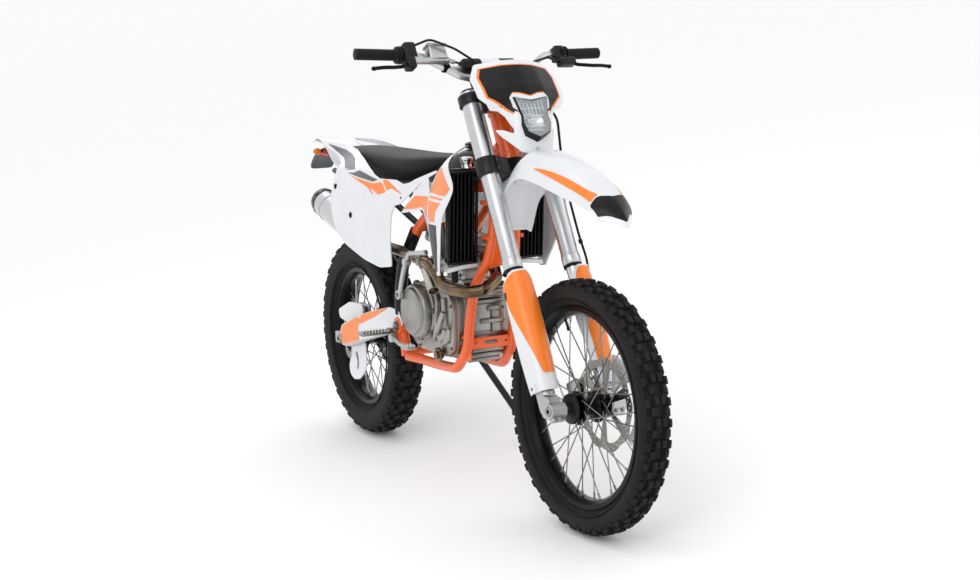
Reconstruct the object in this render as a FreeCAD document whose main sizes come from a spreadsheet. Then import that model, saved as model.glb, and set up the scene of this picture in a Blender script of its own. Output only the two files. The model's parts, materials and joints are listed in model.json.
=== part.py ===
import FreeCAD, Part
import json
import math
import os
import re
from types import SimpleNamespace

import Sketcher

# Enduro dirt bike, in millimetres.
# The bike is laid out upright: +X is its left, -Y its front, +Z up, with the origin on the ground
# midway between the axles. The steered pieces are laid out about the steering axis: X across,
# Z up along the axis from the height of the axle, -Y forward. At the end everything is leaned
# onto the side stand and moved so that the bounding box stands centred on the ground.

DIMENSIONS = [
    ("front_axle_place", 740, "front axle ahead of the origin"),
    ("swingarm_length", 508, "rear axle behind the swingarm pivot, along the bike"),
    ("rake_angle", 26.8, "steering axis from the vertical, degrees"),
    ("clamp_offset", 22, "fork legs ahead of the steering axis"),
    ("axle_lead", 33, "front axle ahead of the fork legs"),
    ("steer_angle", 3.6, "handlebar turned to the left at rest, degrees"),
    ("lean_angle", 9, "lean onto the side stand, degrees"),
    ("running_gap", 0.06, "radial clearance of a turning fit"),
    ("seat_gap", 0.03, "radial clearance of a clamped fit"),

    ("knob_height", 12, "tyre knobs above the carcass"),
    ("front_knob_pairs", 30, "centre and shoulder knobs round the front tyre"),
    ("rear_knob_pairs", 28, "centre and shoulder knobs round the rear tyre"),
    ("front_tyre_section", 82, "front tyre from the bead seat to the tips of the lugs"),
    ("front_tyre_width", 91, "across the lugs"),
    ("front_rim_radius", 275, "to the top of the rim flange"),
    ("front_rim_width", 54, "across the rim flanges"),
    ("rear_tyre_section", 110, "rear tyre from the bead seat to the tips of the lugs"),
    ("rear_tyre_width", 118, "across the lugs"),
    ("rear_rim_radius", 238, "to the top of the rim flange"),
    ("rear_rim_width", 70, "across the rim flanges"),
    ("rim_wall", 4, "thickness of the rim"),
    ("rim_flange", 10, "height of the rim flange above the bead seat"),
    ("rim_well", 12, "depth of the rim well below the bead seat"),
    ("tyre_wall", 8, "thickness of the tyre"),
    ("spoke_radius", 1.7, "spoke"),
    ("spoke_count", 36, "spokes of each wheel"),

    ("front_axle_radius", 10, "front axle"),
    ("rear_axle_radius", 12, "rear axle"),
    ("front_axle_bore", 6, "bore through the front axle"),
    ("rear_axle_bore", 7.5, "bore through the rear axle"),
    ("front_hub_half", 58, "half width of the front hub barrel"),
    ("front_hub_radius", 22, "front hub barrel"),
    ("front_flange_radius", 46, "spoke flanges of the front hub"),
    ("front_flange_place", 30, "spoke flanges from the wheel's middle"),
    ("rear_hub_half", 62, "half width of the rear hub barrel"),
    ("rear_hub_radius", 28, "rear hub barrel"),
    ("rear_flange_radius", 56, "spoke flanges of the rear hub"),
    ("rear_flange_place", 34, "spoke flanges from the wheel's middle"),
    ("flange_thick", 6, "spoke flange"),

    ("disc_thick", 3, "brake discs"),
    ("front_disc_radius", 130, "front brake disc"),
    ("rear_disc_radius", 110, "rear brake disc"),
    ("disc_band", 24, "braking band of a disc"),
    ("sprocket_radius", 124, "rear sprocket over its teeth"),
    ("sprocket_teeth", 36, "rear sprocket"),
    ("sprocket_thick", 6, "both sprockets"),
    ("chain_line", 72, "chain from the middle of the bike"),
    ("chain_thick", 15, "chain from side to side"),
    ("chain_deep", 14, "chain link height"),

    ("leg_place", 96, "fork leg from the middle of the bike"),
    ("leg_radius", 28.5, "outer fork tube in the clamps"),
    ("leg_thin_radius", 25.5, "outer fork tube at its lower end"),
    ("leg_bottom", 416, "lower end of the outer fork tubes"),
    ("leg_cap", 8, "fork legs above the upper clamp"),
    ("slider_radius", 21.5, "inner fork tube"),
    ("lug_bottom", -24, "lower end of the axle lugs"),
    ("lug_top", 90, "top of the axle lugs"),
    ("lug_radius", 26, "axle lug"),
    ("boss_radius", 21, "axle boss"),
    ("guard_top", 432, "top of the fork guards"),
    ("guard_radius", 42, "fork guard about the leg"),
    ("guard_wall", 3, "fork guard"),

    ("lower_clamp_bottom", 694, "underside of the lower triple clamp"),
    ("lower_clamp_thick", 52, "lower triple clamp"),
    ("clamp_spacing", 218, "underside of the upper clamp above that of the lower"),
    ("upper_clamp_thick", 30, "upper triple clamp"),
    ("clamp_ring", 36, "ring of a triple clamp about the leg"),
    ("stem_radius", 13, "steering stem"),
    ("head_radius", 30, "head tube"),
    ("head_gap", 2, "head tube from the clamps"),

    ("bar_radius", 11, "handlebar tube"),
    ("bar_half", 400, "half width of the handlebar"),
    ("bar_rise", 64, "handlebar middle above the upper clamp"),
    ("bar_sweep", 89, "handlebar ends above its middle"),
    ("bar_middle_lead", 8, "handlebar middle ahead of the steering axis"),
    ("grip_radius", 16, "grip"),
    ("grip_length", 122, "grip"),

    ("louvre_count", 8, "louvres in front of each radiator"),
    ("radiator_inner", 62, "inner side of the radiators from the middle"),
    ("radiator_width", 92, "radiator"),
    ("down_tube_radius", 16, "frame down tubes and cradle"),
    ("spar_radius", 17, "main frame tubes"),
    ("cradle_half", 74, "cradle tube from the middle of the bike"),
    ("cradle_height", 356, "middle of the cradle tubes above the ground"),
    ("subframe_radius", 10, "rear frame tubes"),
    ("pivot_place", 232, "swingarm pivot behind the middle of the wheelbase"),
    ("pivot_rise", 96, "swingarm pivot above the cradle tubes"),
    ("bridge_gap", 46, "swingarm bridge ahead of the rear tyre"),
    ("pivot_radius", 9, "swingarm pivot bolt"),

    ("case_half", 104, "half width of the crankcase"),
    ("crank_height", 500, "crankshaft above the ground"),
    ("crank_place", -40, "crankshaft ahead of the middle of the wheelbase"),
    ("clutch_place", 66, "clutch cover behind the middle of the wheelbase"),
    ("clutch_height", 520, "clutch cover above the ground"),
    ("clutch_radius", 86, "clutch cover"),
    ("header_radius", 17.6, "exhaust header"),
    ("silencer_radius", 47, "silencer"),
    ("outlet_radius", 17, "outlet in the end of the silencer"),
    ("outlet_depth", 70, "depth of the outlet"),

    ("stand_radius", 11, "side stand leg"),
    ("stand_pivot_x", 128, "side stand pivot to the left of the middle"),
    ("stand_pivot_place", 150, "side stand pivot behind the middle of the wheelbase"),
    ("stand_pivot_height", 336, "side stand pivot above the ground"),
    ("stand_reach", 300, "side stand foot to the left of the middle"),
    ("stand_lead", 25, "side stand foot ahead of its pivot"),
    ("stand_bolt_radius", 7, "side stand pivot bolt"),
]

PARTS_FOLDER = "parts"
WHEEL_SIDES = 36
BEAD_FIT = 0.6
FLATNESS = 1e-6
STRAIGHT = math.radians(2)
ARC_STEP = math.radians(24)
X_AXIS = FreeCAD.Vector(1, 0, 0)
Y_AXIS = FreeCAD.Vector(0, 1, 0)
Z_AXIS = FreeCAD.Vector(0, 0, 1)
V = FreeCAD.Vector

doc = FreeCAD.newDocument("EnduroBike")
sheet = doc.addObject("Spreadsheet::Sheet", "Dims")
for row, (alias, value, note) in enumerate(DIMENSIONS, start=1):
    sheet.set(f"A{row}", alias)
    sheet.set(f"B{row}", str(value))
    sheet.set(f"C{row}", note)
    sheet.setAlias(f"B{row}", alias)
doc.recompute()

d = SimpleNamespace(**{alias: float(sheet.get(alias)) for alias, _, _ in DIMENSIONS})
ALIASES = {alias for alias, _, _ in DIMENSIONS}
subparts = {}


def bound(text):
    """A formula over the dimensions, as an expression over the sheet."""
    return re.sub(r"[a-z][a-z_]+", lambda m: f"Dims.{m[0]}" if m[0] in ALIASES else m[0], str(text))


def value_of(text):
    return float(sheet.evalExpression(bound(text)))


def group_under(group, obj, label):
    """Name a sub-part and put it in a moving body."""
    obj.Label = label
    subparts[label] = (group, obj)
    return obj


def origin_plane(body, role):
    return next(f for f in body.Origin.OriginFeatures if f.Role == role)


def new_body(group, label):
    body = doc.addObject("PartDesign::Body", label)
    return group_under(group, body, label)


def draw(body, name, role, loops, offset="0"):
    """A sketch of closed loops: a list of corners, or ("circle", x, y, radius)."""
    sketch = body.newObject("Sketcher::SketchObject", name)
    sketch.AttachmentSupport = (origin_plane(body, role), [""])
    sketch.MapMode = "FlatFace"
    sketch.setExpression("AttachmentOffset.Base.z", bound(offset))
    for loop in loops:
        if loop[0] == "circle":
            draw_circle(sketch, *loop[1:])
        else:
            draw_polygon(sketch, loop)
    return sketch


def pin_point(sketch, geometry, point, x_text, y_text):
    for kind, text in (("DistanceX", x_text), ("DistanceY", y_text)):
        row = sketch.addConstraint(Sketcher.Constraint(kind, -1, 1, geometry, point, value_of(text)))
        sketch.setExpression(f"Constraints[{row}]", bound(text))


def draw_circle(sketch, x_text, y_text, radius_text):
    centre = V(value_of(x_text), value_of(y_text), 0)
    round_edge = sketch.addGeometry(Part.Circle(centre, Z_AXIS, value_of(radius_text)))
    pin_point(sketch, round_edge, 3, x_text, y_text)
    row = sketch.addConstraint(Sketcher.Constraint("Radius", round_edge, value_of(radius_text)))
    sketch.setExpression(f"Constraints[{row}]", bound(radius_text))


def draw_polygon(sketch, corners):
    points = [V(value_of(x), value_of(y), 0) for x, y in corners]
    first = sketch.GeometryCount
    count = len(points)
    for i, point in enumerate(points):
        sketch.addGeometry(Part.LineSegment(point, points[(i + 1) % count]))
    for i in range(count):
        following = first + (i + 1) % count
        sketch.addConstraint(Sketcher.Constraint("Coincident", first + i, 2, following, 1))
    for i, (x, y) in enumerate(corners):
        pin_point(sketch, first + i, 1, x, y)


def turned(group, label, *profiles):
    """A body turned about the X axis from profiles of (along X, radius) corners."""
    body = new_body(group, label)
    for i, profile in enumerate(profiles):
        sketch = draw(body, f"{label}_profile_{i}", "XY_Plane", [profile])
        turning = body.newObject("PartDesign::Revolution", f"{label}_turning_{i}")
        turning.Profile = sketch
        turning.ReferenceAxis = (sketch, ["H_Axis"])
        turning.Angle = 360
        sketch.Visibility = False
    return body


def feature(group, label, shape):
    """A sub-part whose shape is made by the functions below."""
    item = doc.addObject("Part::Feature", label)
    item.Shape = shape
    return group_under(group, item, label)


def mirrored_pair(group, label, half):
    """Both sides of the bike from one side's object."""
    other = doc.addObject("Part::Mirroring", f"{label}_other")
    other.Source = half
    other.Normal = X_AXIS
    pair = doc.addObject("Part::Compound", label)
    pair.Links = [half, other]
    return group_under(group, pair, label)


def mirror(shape):
    return shape.mirror(V(0, 0, 0), X_AXIS)


def both_sides(shape):
    return Part.makeCompound([shape, mirror(shape)])


def rod(start, end, radius):
    run = end - start
    return Part.makeCylinder(radius, run.Length, start, run)


def fused(*shapes):
    whole = shapes[0].fuse(list(shapes[1:]))
    return whole.removeSplitter()


def block(x, y, z):
    """A box between two limits on each axis."""
    return Part.makeBox(x[1] - x[0], y[1] - y[0], z[1] - z[0], V(x[0], y[0], z[0]))


def plate(outline, start, thickness):
    """A flat plate across the bike: (y, z) corners raised along X."""
    corners = [V(start, y, z) for y, z in outline]
    return Part.Face(Part.makePolygon(corners + corners[:1])).extrude(V(thickness, 0, 0))


def facets(first, second, closed):
    """Flat faces between two lines of points."""
    faces = []
    for i in range(len(first) if closed else len(first) - 1):
        j = (i + 1) % len(first)
        corners = [first[i], first[j], second[j], second[i]]
        normal = (corners[1] - corners[0]).cross(corners[2] - corners[0])
        if abs(normal.dot(corners[3] - corners[0])) < FLATNESS * normal.Length:
            faces.append(corners)
        else:
            faces += [corners[:3], [corners[2], corners[3], corners[0]]]
    return faces


def polyhedron(faces):
    """A solid from flat faces, each a list of corners."""
    sides = Part.makeCompound([Part.Face(Part.makePolygon(corners + corners[:1])) for corners in faces])
    sides.sewShape()
    solid = Part.makeSolid(sides.Shells[0])
    if solid.Volume < 0:
        solid.reverse()
    return solid.removeSplitter()


def loft(rings):
    """A solid through closed rings of corners, of which the first and last are flat."""
    faces = [rings[0], rings[-1]]
    for first, second in zip(rings, rings[1:]):
        faces += facets(first, second, True)
    return polyhedron(faces)


def skin(lines, thickness, inside):
    """A moulded wall through lines of points, thickened along its normals to the inside."""
    def normal(i, j):
        across = lines[min(i + 1, len(lines) - 1)][j] - lines[max(i - 1, 0)][j]
        along = lines[i][min(j + 1, len(lines[i]) - 1)] - lines[i][max(j - 1, 0)]
        return across.cross(along).normalize()

    middle = normal(len(lines) // 2, len(lines[0]) // 2)
    facing = 1 if middle.dot(inside) > 0 else -1
    inner_lines = [[p + normal(i, j) * facing * thickness for j, p in enumerate(line)]
                   for i, line in enumerate(lines)]
    faces = []
    for grid in (lines, inner_lines):
        for first, second in zip(grid, grid[1:]):
            faces += facets(first, second, False)
    for end in (0, -1):
        faces += facets(lines[end], inner_lines[end], False)
        faces += facets([line[end] for line in lines], [line[end] for line in inner_lines], False)
    return polyhedron(faces)


def ring_about_x(profile, sides):
    """A wheel-like ring with flat sides, from a closed profile of (x, radius) corners."""
    spokes = []
    for i in range(sides):
        angle = 2 * math.pi * (i + 0.5) / sides - math.pi / 2
        spokes.append([V(x, r * math.cos(angle), r * math.sin(angle)) for x, r in profile])
    faces = []
    for i in range(sides):
        faces += facets(spokes[i], spokes[(i + 1) % sides], True)
    return polyhedron(faces)


def prism(start, end, radius, sides):
    """A straight bar with flat sides."""
    run = (end - start).normalize()
    across = run.cross(Z_AXIS if abs(run.z) < 0.9 else X_AXIS).normalize()
    up = run.cross(across)
    corners = []
    for i in range(sides):
        angle = 2 * math.pi * (i + 0.5) / sides
        corners.append(start + (across * math.cos(angle) + up * math.sin(angle)) * radius)
    return Part.Face(Part.makePolygon(corners + corners[:1])).extrude(end - start)


def bent_points(points, bend):
    """Straight runs joined by arcs of short runs; a bend radius, or as large as the runs allow."""
    path = [points[0]]
    for before, corner, after in zip(points, points[1:], points[2:]):
        into, out = corner - before, after - corner
        turn = into.getAngle(out)
        if turn < STRAIGHT:
            path.append(corner)
            continue
        reach = 0.45 * min(into.Length, out.Length)
        if bend is not None:
            reach = min(reach, bend * math.tan(turn / 2))
        into.normalize()
        out.normalize()
        radius = reach / math.tan(turn / 2)
        inward = (out - into * math.cos(turn)).normalize()
        start = corner - into * reach
        steps = max(1, round(turn / ARC_STEP))
        for step in range(steps + 1):
            angle = turn * step / steps
            path.append(start + inward * radius * (1 - math.cos(angle)) + into * radius * math.sin(angle))
    path.append(points[-1])
    return path


def tube(points, radius, bend=None, sides=10):
    """A bar with flat sides along a bent path, mitred where it turns."""
    path = bent_points(points, bend)
    runs = [(after - before).normalize() for before, after in zip(path, path[1:])]
    across = runs[0].cross(Z_AXIS if abs(runs[0].z) < 0.9 else X_AXIS).normalize()
    up = runs[0].cross(across)
    ring = []
    for i in range(sides):
        angle = 2 * math.pi * (i + 0.5) / sides
        ring.append(path[0] + (across * math.cos(angle) + up * math.sin(angle)) * radius)
    rings = [ring]
    for i, run in enumerate(runs):
        mitre = run + runs[min(i + 1, len(runs) - 1)]
        ring = [corner + run * ((path[i + 1] - corner).dot(mitre) / run.dot(mitre)) for corner in ring]
        rings.append(ring)
    return loft(rings)


d.pivot_height = d.cradle_height + d.pivot_rise
d.front_tyre_radius = d.front_rim_radius - d.rim_flange + d.front_tyre_section
d.rear_tyre_radius = d.rear_rim_radius - d.rim_flange + d.rear_tyre_section
d.upper_clamp_bottom = d.lower_clamp_bottom + d.clamp_spacing
d.leg_top = d.upper_clamp_bottom + d.upper_clamp_thick + d.leg_cap
RAKE = math.radians(d.rake_angle)
FORWARD = V(0, -math.cos(RAKE), math.sin(RAKE))
UP_AXIS = V(0, math.sin(RAKE), math.cos(RAKE))
FRONT_AXLE = V(0, -d.front_axle_place, d.front_tyre_radius)
REAR_AXLE = V(0, d.pivot_place + d.swingarm_length, d.rear_tyre_radius)
AXLE_AHEAD = d.clamp_offset + d.axle_lead
STEER_BASE = FRONT_AXLE - FORWARD * AXLE_AHEAD


def on_axis(height, ahead=0.0, across=0.0):
    """A point of the straight-ahead steering frame, in the bike's own frame."""
    return STEER_BASE + UP_AXIS * height + FORWARD * ahead + V(across, 0, 0)


def fork_point(across, ahead, height):
    """A point in the frame of the steered pieces."""
    return V(across, -ahead, height)


# Wheels
HUB_SIDES = 18
SPOKE_SHORT = 0.3
SPOKE_HOLD = 7
SPOKE_LACING = math.radians(52)
DISC_WAVES = 9
DISC_WAVE_DEPTH = 7


def tyre(name, group):
    """Carcass with knobs in rings: centre and shoulder knobs alternate, each as long as its gap."""
    radius, half = getattr(d, f"{name}_tyre_radius"), getattr(d, f"{name}_tyre_width") / 2
    rim_half = getattr(d, f"{name}_rim_width") / 2 - d.rim_wall
    flange = getattr(d, f"{name}_rim_radius")
    seat, base = flange - d.rim_flange + BEAD_FIT, radius - d.knob_height
    wall = [(rim_half, seat), (rim_half, flange + 3), (half * 0.93, radius - 48), (half * 0.86, base - 14)]
    near, mid = (half * 0.38, base - 1), (half * 0.3, base)
    shoulder = [(half, radius - 16), (half * 0.44, radius - 3)]
    inner = [(-rim_half + d.tyre_wall, seat), (0, radius - 20 - d.tyre_wall), (rim_half - d.tyre_wall, seat)]

    def whole_profile(side, crown):
        return side + crown + [(-x, r) for x, r in reversed(side)] + inner

    profiles = (whole_profile(wall + [near, mid], [(mid[0], radius), (-mid[0], radius)]),
                whole_profile(wall + shoulder + [near, mid], []))
    steps = [[mid, (mid[0], radius), (-mid[0], radius), (-mid[0], base)],
             [wall[-1]] + shoulder + [near],
             [(-x, r) for x, r in [wall[-1]] + shoulder + [near]]]
    count = 2 * int(getattr(d, f"{name}_knob_pairs"))

    def at(profile, i):
        angle = 2 * math.pi * (i + 0.5) / count - math.pi / 2
        return [V(x, r * math.cos(angle), r * math.sin(angle)) for x, r in profile]

    faces = []
    for i in range(count):
        profile = profiles[i % 2]
        faces += facets(at(profile, i), at(profile, i + 1), True)
        faces += [at(step, i) for step in steps]
    return feature(group, f"{name}_tyre", polyhedron(faces))


def rim(name, group):
    half, flange = getattr(d, f"{name}_rim_width") / 2, getattr(d, f"{name}_rim_radius")
    seat = flange - d.rim_flange
    outer = [(half, flange), (half, seat - d.rim_wall), (half - 14, seat - d.rim_well - d.rim_wall)]
    inner = [(half - 12 - d.rim_wall, seat - d.rim_well), (half - d.rim_wall, seat),
             (half - d.rim_wall, flange)]
    far_outer = [(-x, r) for x, r in reversed(outer)]
    far_inner = [(-x, r) for x, r in reversed(inner)]
    return feature(group, f"{name}_rim", ring_about_x(outer + far_outer + far_inner + inner, WHEEL_SIDES))


def hub(name, group, left_end):
    """Hub barrel, spoke flanges and laced spokes."""
    half, radius = getattr(d, f"{name}_hub_half"), getattr(d, f"{name}_hub_radius")
    flange, place = getattr(d, f"{name}_flange_radius"), getattr(d, f"{name}_flange_place")
    bore = getattr(d, f"{name}_axle_radius") + d.running_gap
    well = getattr(d, f"{name}_rim_radius") - d.rim_flange - d.rim_well - d.rim_wall
    head_reach = well * math.cos(math.pi / WHEEL_SIDES) - SPOKE_SHORT
    whole = prism(V(-half, 0, 0), V(left_end, 0, 0), radius, HUB_SIDES)
    pieces = []
    for side in (-1, 1):
        start = V(side * place - d.flange_thick / 2, 0, 0)
        pieces.append(prism(start, start + X_AXIS * d.flange_thick, flange, HUB_SIDES))
    count = int(d.spoke_count)
    for i in range(count):
        side = -1 if i % 2 else 1
        lacing = 1 if i % 4 < 2 else -1
        angle = 2 * math.pi * i / count
        hub_angle = angle + lacing * SPOKE_LACING
        hold = flange - SPOKE_HOLD
        foot = V(side * place + lacing * d.flange_thick / 2, hold * math.cos(hub_angle),
                 hold * math.sin(hub_angle))
        head = V(side * 4, head_reach * math.cos(angle), head_reach * math.sin(angle))
        pieces.append(prism(foot, head, d.spoke_radius, 4))
    whole = fused(whole, *pieces)
    return feature(group, f"{name}_hub", whole.cut(rod(V(-half - 1, 0, 0), V(left_end + 1, 0, 0), bore)))


def wave_disc(name, group, middle, bolt_radius):
    """A brake disc with a scalloped edge and six arms to its bolting ring."""
    radius = getattr(d, f"{name}_disc_radius")
    edge = []
    for i in range(4 * DISC_WAVES):
        angle = math.pi * (i + 0.5) / (2 * DISC_WAVES)
        reach = radius if i % 4 < 2 else radius - DISC_WAVE_DEPTH
        edge.append(V(middle - d.disc_thick / 2, reach * math.cos(angle), reach * math.sin(angle)))
    band_inner, ring_outer = radius - d.disc_band, bolt_radius + 16
    windows = []
    for i in range(6):
        corners = []
        for share, reach in ((0.16, ring_outer), (0.14, band_inner), (0.5, band_inner + 4), (0.86, band_inner),
                             (0.84, ring_outer)):
            angle = math.pi / 3 * (i + share)
            corners.append(V(middle - d.disc_thick, reach * math.cos(angle), reach * math.sin(angle)))
        windows.append(Part.Face(Part.makePolygon(corners + corners[:1])).extrude(X_AXIS * 2 * d.disc_thick))
    disc = Part.Face(Part.makePolygon(edge + edge[:1])).extrude(X_AXIS * d.disc_thick)
    hole = rod(V(middle - d.disc_thick, 0, 0), V(middle + d.disc_thick, 0, 0), bolt_radius + d.seat_gap)
    return feature(group, f"{name}_disc", disc.cut(hole).cut(Part.makeCompound(windows)))


tyre("front", "front_wheel")
rim("front", "front_wheel")
hub("front", "front_wheel", d.front_hub_half + d.disc_thick)
FRONT_DISC_PLACE = d.front_hub_half + d.disc_thick / 2 - 0.2
wave_disc("front", "front_wheel", FRONT_DISC_PLACE, d.front_hub_radius)
tyre("rear", "rear_wheel")
rim("rear", "rear_wheel")
hub("rear", "rear_wheel", d.chain_line + d.sprocket_thick)
REAR_DISC_PLACE = -d.rear_hub_half + d.disc_thick / 2 + 0.2
wave_disc("rear", "rear_wheel", REAR_DISC_PLACE, d.rear_hub_radius)


def rear_sprocket():
    """Toothed ring, bolted on the left end of the hub."""
    start = d.chain_line - d.sprocket_thick / 2
    root = d.sprocket_radius - 11
    edge = []
    for i in range(2 * int(d.sprocket_teeth)):
        angle = math.pi * i / int(d.sprocket_teeth)
        reach = root if i % 2 else root - 7
        edge.append(V(start, reach * math.cos(angle), reach * math.sin(angle)))
    disc = Part.Face(Part.makePolygon(edge + edge[:1])).extrude(X_AXIS * d.sprocket_thick)
    hole = rod(V(start - 1, 0, 0), V(start + d.sprocket_thick + 1, 0, 0), d.rear_hub_radius + 0.02)
    return feature("rear_wheel", "rear_sprocket", disc.cut(hole))


rear_sprocket()


# Fork
def front_axle():
    """Hollow axle across both fork lugs."""
    end = d.leg_place + d.lug_radius + 2
    start, stop = V(-end, -AXLE_AHEAD, 0), V(end - 6, -AXLE_AHEAD, 0)
    shaft = rod(start, stop, d.front_axle_radius).cut(rod(start, stop, d.front_axle_bore))
    return feature("steering", "front_axle", shaft)


def fork_outer_tube():
    half = doc.addObject("PartDesign::Body", "fork_outer_tube_side")
    profile = [
        ("leg_bottom", "slider_radius + seat_gap"), ("leg_bottom", "leg_thin_radius + 2"),
        ("leg_bottom + 34", "leg_thin_radius"), ("leg_bottom + 150", "leg_thin_radius"),
        ("lower_clamp_bottom - 54", "leg_radius"), (f"{d.leg_top}", "leg_radius"),
        (f"{d.leg_top}", "slider_radius + seat_gap"),
    ]
    sketch = draw(half, "fork_outer_profile", "XY_Plane", [profile])
    turning = half.newObject("PartDesign::Revolution", "fork_outer_turning")
    turning.Profile = sketch
    turning.ReferenceAxis = (sketch, ["H_Axis"])
    turning.Angle = 360
    sketch.Visibility = False
    half.Placement = FreeCAD.Placement(V(d.leg_place, -d.clamp_offset, 0),
                                       FreeCAD.Rotation(Y_AXIS, -90))
    return mirrored_pair("steering", "fork_outer_tubes", half)


def fork_lower():
    """Inner tube with the cast lug that holds the axle ahead of it."""
    leg = V(d.leg_place, -d.clamp_offset, 0)
    slider = Part.makeCylinder(d.slider_radius, d.leg_bottom + 60 - d.lug_top, leg + Z_AXIS * (d.lug_top - 10))
    lug = prism(leg + Z_AXIS * 15, leg + Z_AXIS * d.lug_top, d.lug_radius, 16)
    inner, outer = d.leg_place - d.lug_radius + 2, d.leg_place + d.lug_radius
    boss = prism(V(inner, -AXLE_AHEAD, 0), V(outer, -AXLE_AHEAD, 0), d.boss_radius, 16)
    neck = block((inner + 4, outer - 6), (-AXLE_AHEAD - 8, -d.clamp_offset + 18), (d.lug_bottom + 10, 44))
    bore = rod(V(inner - 1, -AXLE_AHEAD, 0), V(outer + 1, -AXLE_AHEAD, 0),
               d.front_axle_radius + d.seat_gap)
    return feature("steering", "fork_lowers", both_sides(fused(slider, lug, boss, neck).cut(bore)))


GUARD_STATIONS = (
    (372, -128, 40, 40), (332, -132, 60, 42), (192, -165, 60, 46), (92, -160, 50, 45), (32, -145, 20, 43),
    (-4, -125, -25, 42),
)


def fork_guard():
    """Guard around the front and the outside of the inner fork tube, clamped on the lug."""
    leg = V(d.leg_place, -d.clamp_offset, 0)
    lines = []
    for below_top, start, end, radius in GUARD_STATIONS:
        line = []
        for step in range(7):
            angle = math.radians(start + (end - start) * step / 6)
            line.append(leg + V(math.cos(angle) * radius, math.sin(angle) * radius, d.guard_top - below_top))
        lines.append(line)
    pad = prism(leg + Z_AXIS * 62, leg + Z_AXIS * 84, 41, 12).common(
        block((leg.x + 4, leg.x + 60), (leg.y - 60, leg.y + 20), (0, 100)))
    pad = pad.cut(rod(leg, leg + Z_AXIS * 100, d.lug_radius + d.seat_gap))
    return feature("steering", "fork_guards", both_sides(fused(skin(lines, d.guard_wall, leg - lines[3][3]), pad)))


def triple_clamp(label, bottom, thick, with_stem):
    """Cast clamp with a ring about each fork leg, on the steering stem."""
    leg = V(d.leg_place, -d.clamp_offset, bottom)
    rise = Z_AXIS * thick
    rings = [prism(V(side * leg.x, leg.y, bottom), V(side * leg.x, leg.y, bottom) + rise, d.clamp_ring + 1, 14)
             for side in (-1, 1)]
    back = [V(-leg.x, leg.y + 14, bottom), V(-24, d.head_radius + 2, bottom), V(24, d.head_radius + 2, bottom),
            V(leg.x, leg.y + 14, bottom), V(leg.x, leg.y - 20, bottom), V(0, -d.head_radius - 6, bottom),
            V(-leg.x, leg.y - 20, bottom)]
    web = Part.Face(Part.makePolygon(back + back[:1])).extrude(rise)
    whole = fused(web, *rings)
    for side in (-1, 1):
        whole = whole.cut(Part.makeCylinder(d.leg_radius + d.seat_gap, thick + 2,
                                            V(side * leg.x, leg.y, bottom - 1)))
    if with_stem:
        stem_top = d.upper_clamp_bottom + d.upper_clamp_thick + 6
        whole = whole.fuse(Part.makeCylinder(d.stem_radius, stem_top - bottom, V(0, 0, bottom)))
    else:
        whole = whole.cut(Part.makeCylinder(d.stem_radius + d.seat_gap, thick + 2, V(0, 0, bottom - 1)))
        whole = fused(whole, *bar_risers(bottom + thick))
    return feature("steering", label, whole)


BAR_HEIGHT = d.upper_clamp_bottom + d.upper_clamp_thick + d.bar_rise


def bar_risers(top):
    """The two posts that clamp the handlebar."""
    posts = []
    bar = fork_point(0, d.bar_middle_lead, BAR_HEIGHT)
    for side in (-1, 1):
        post = block((side * 50 - 15, side * 50 + 15), (bar.y - 20, bar.y + 20), (top - 2, bar.z + 18))
        hole = prism(V(side * 50 - 20, bar.y, bar.z), V(side * 50 + 20, bar.y, bar.z),
                     d.bar_radius + 3 + d.seat_gap, 16)
        posts.append(post.cut(hole))
    return posts


front_axle()
fork_outer_tube()
fork_lower()
fork_guard()
triple_clamp("lower_clamp", d.lower_clamp_bottom, d.lower_clamp_thick, True)
triple_clamp("upper_clamp", d.upper_clamp_bottom, d.upper_clamp_thick, False)


# Handlebar
BAR_MIDDLE = fork_point(0, d.bar_middle_lead, BAR_HEIGHT)
BAR_END = fork_point(d.bar_half, -14, BAR_HEIGHT + d.bar_sweep)
BAR_SHOULDER = fork_point(d.bar_half - 195, -4, BAR_HEIGHT + d.bar_sweep - 11)
BAR_KNEE = BAR_MIDDLE + V(86, 0, 0)
BAR_INWARD = (BAR_SHOULDER - BAR_END).normalize()
BAR_GRIP = BAR_END + BAR_INWARD * d.grip_length


def handlebar():
    """Tube with straight round ends for the grips, and a brace under the pad."""
    inner_end = BAR_SHOULDER - BAR_INWARD * 16
    half = [BAR_KNEE, BAR_SHOULDER, inner_end - BAR_INWARD * 30]
    middle = tube([V(-p.x, p.y, p.z) for p in reversed(half)] + half, d.bar_radius - 0.1, 60, 16)
    outer = rod(inner_end, BAR_END, d.bar_radius)
    thick = prism(BAR_MIDDLE - V(72, 0, 0), BAR_MIDDLE + V(72, 0, 0), d.bar_radius + 3, 16)
    brace_end = BAR_MIDDLE + (BAR_SHOULDER - BAR_KNEE) * 0.45 + V(86, 0, 0)
    brace = prism(V(-brace_end.x, brace_end.y, brace_end.z), brace_end, 6, 8)
    return feature("steering", "handlebar", fused(middle, outer, mirror(outer), thick, brace))


def along_grip(fraction):
    return BAR_GRIP + (BAR_END - BAR_GRIP) * fraction


def grips():
    outer = prism(along_grip(0), along_grip(1.03), d.grip_radius, 14)
    flange = prism(along_grip(0), along_grip(0.05), d.grip_radius + 8, 14)
    hole = rod(along_grip(-0.05), along_grip(1), d.bar_radius + d.seat_gap)
    return feature("steering", "grips", both_sides(fused(outer, flange).cut(hole)))


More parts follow.
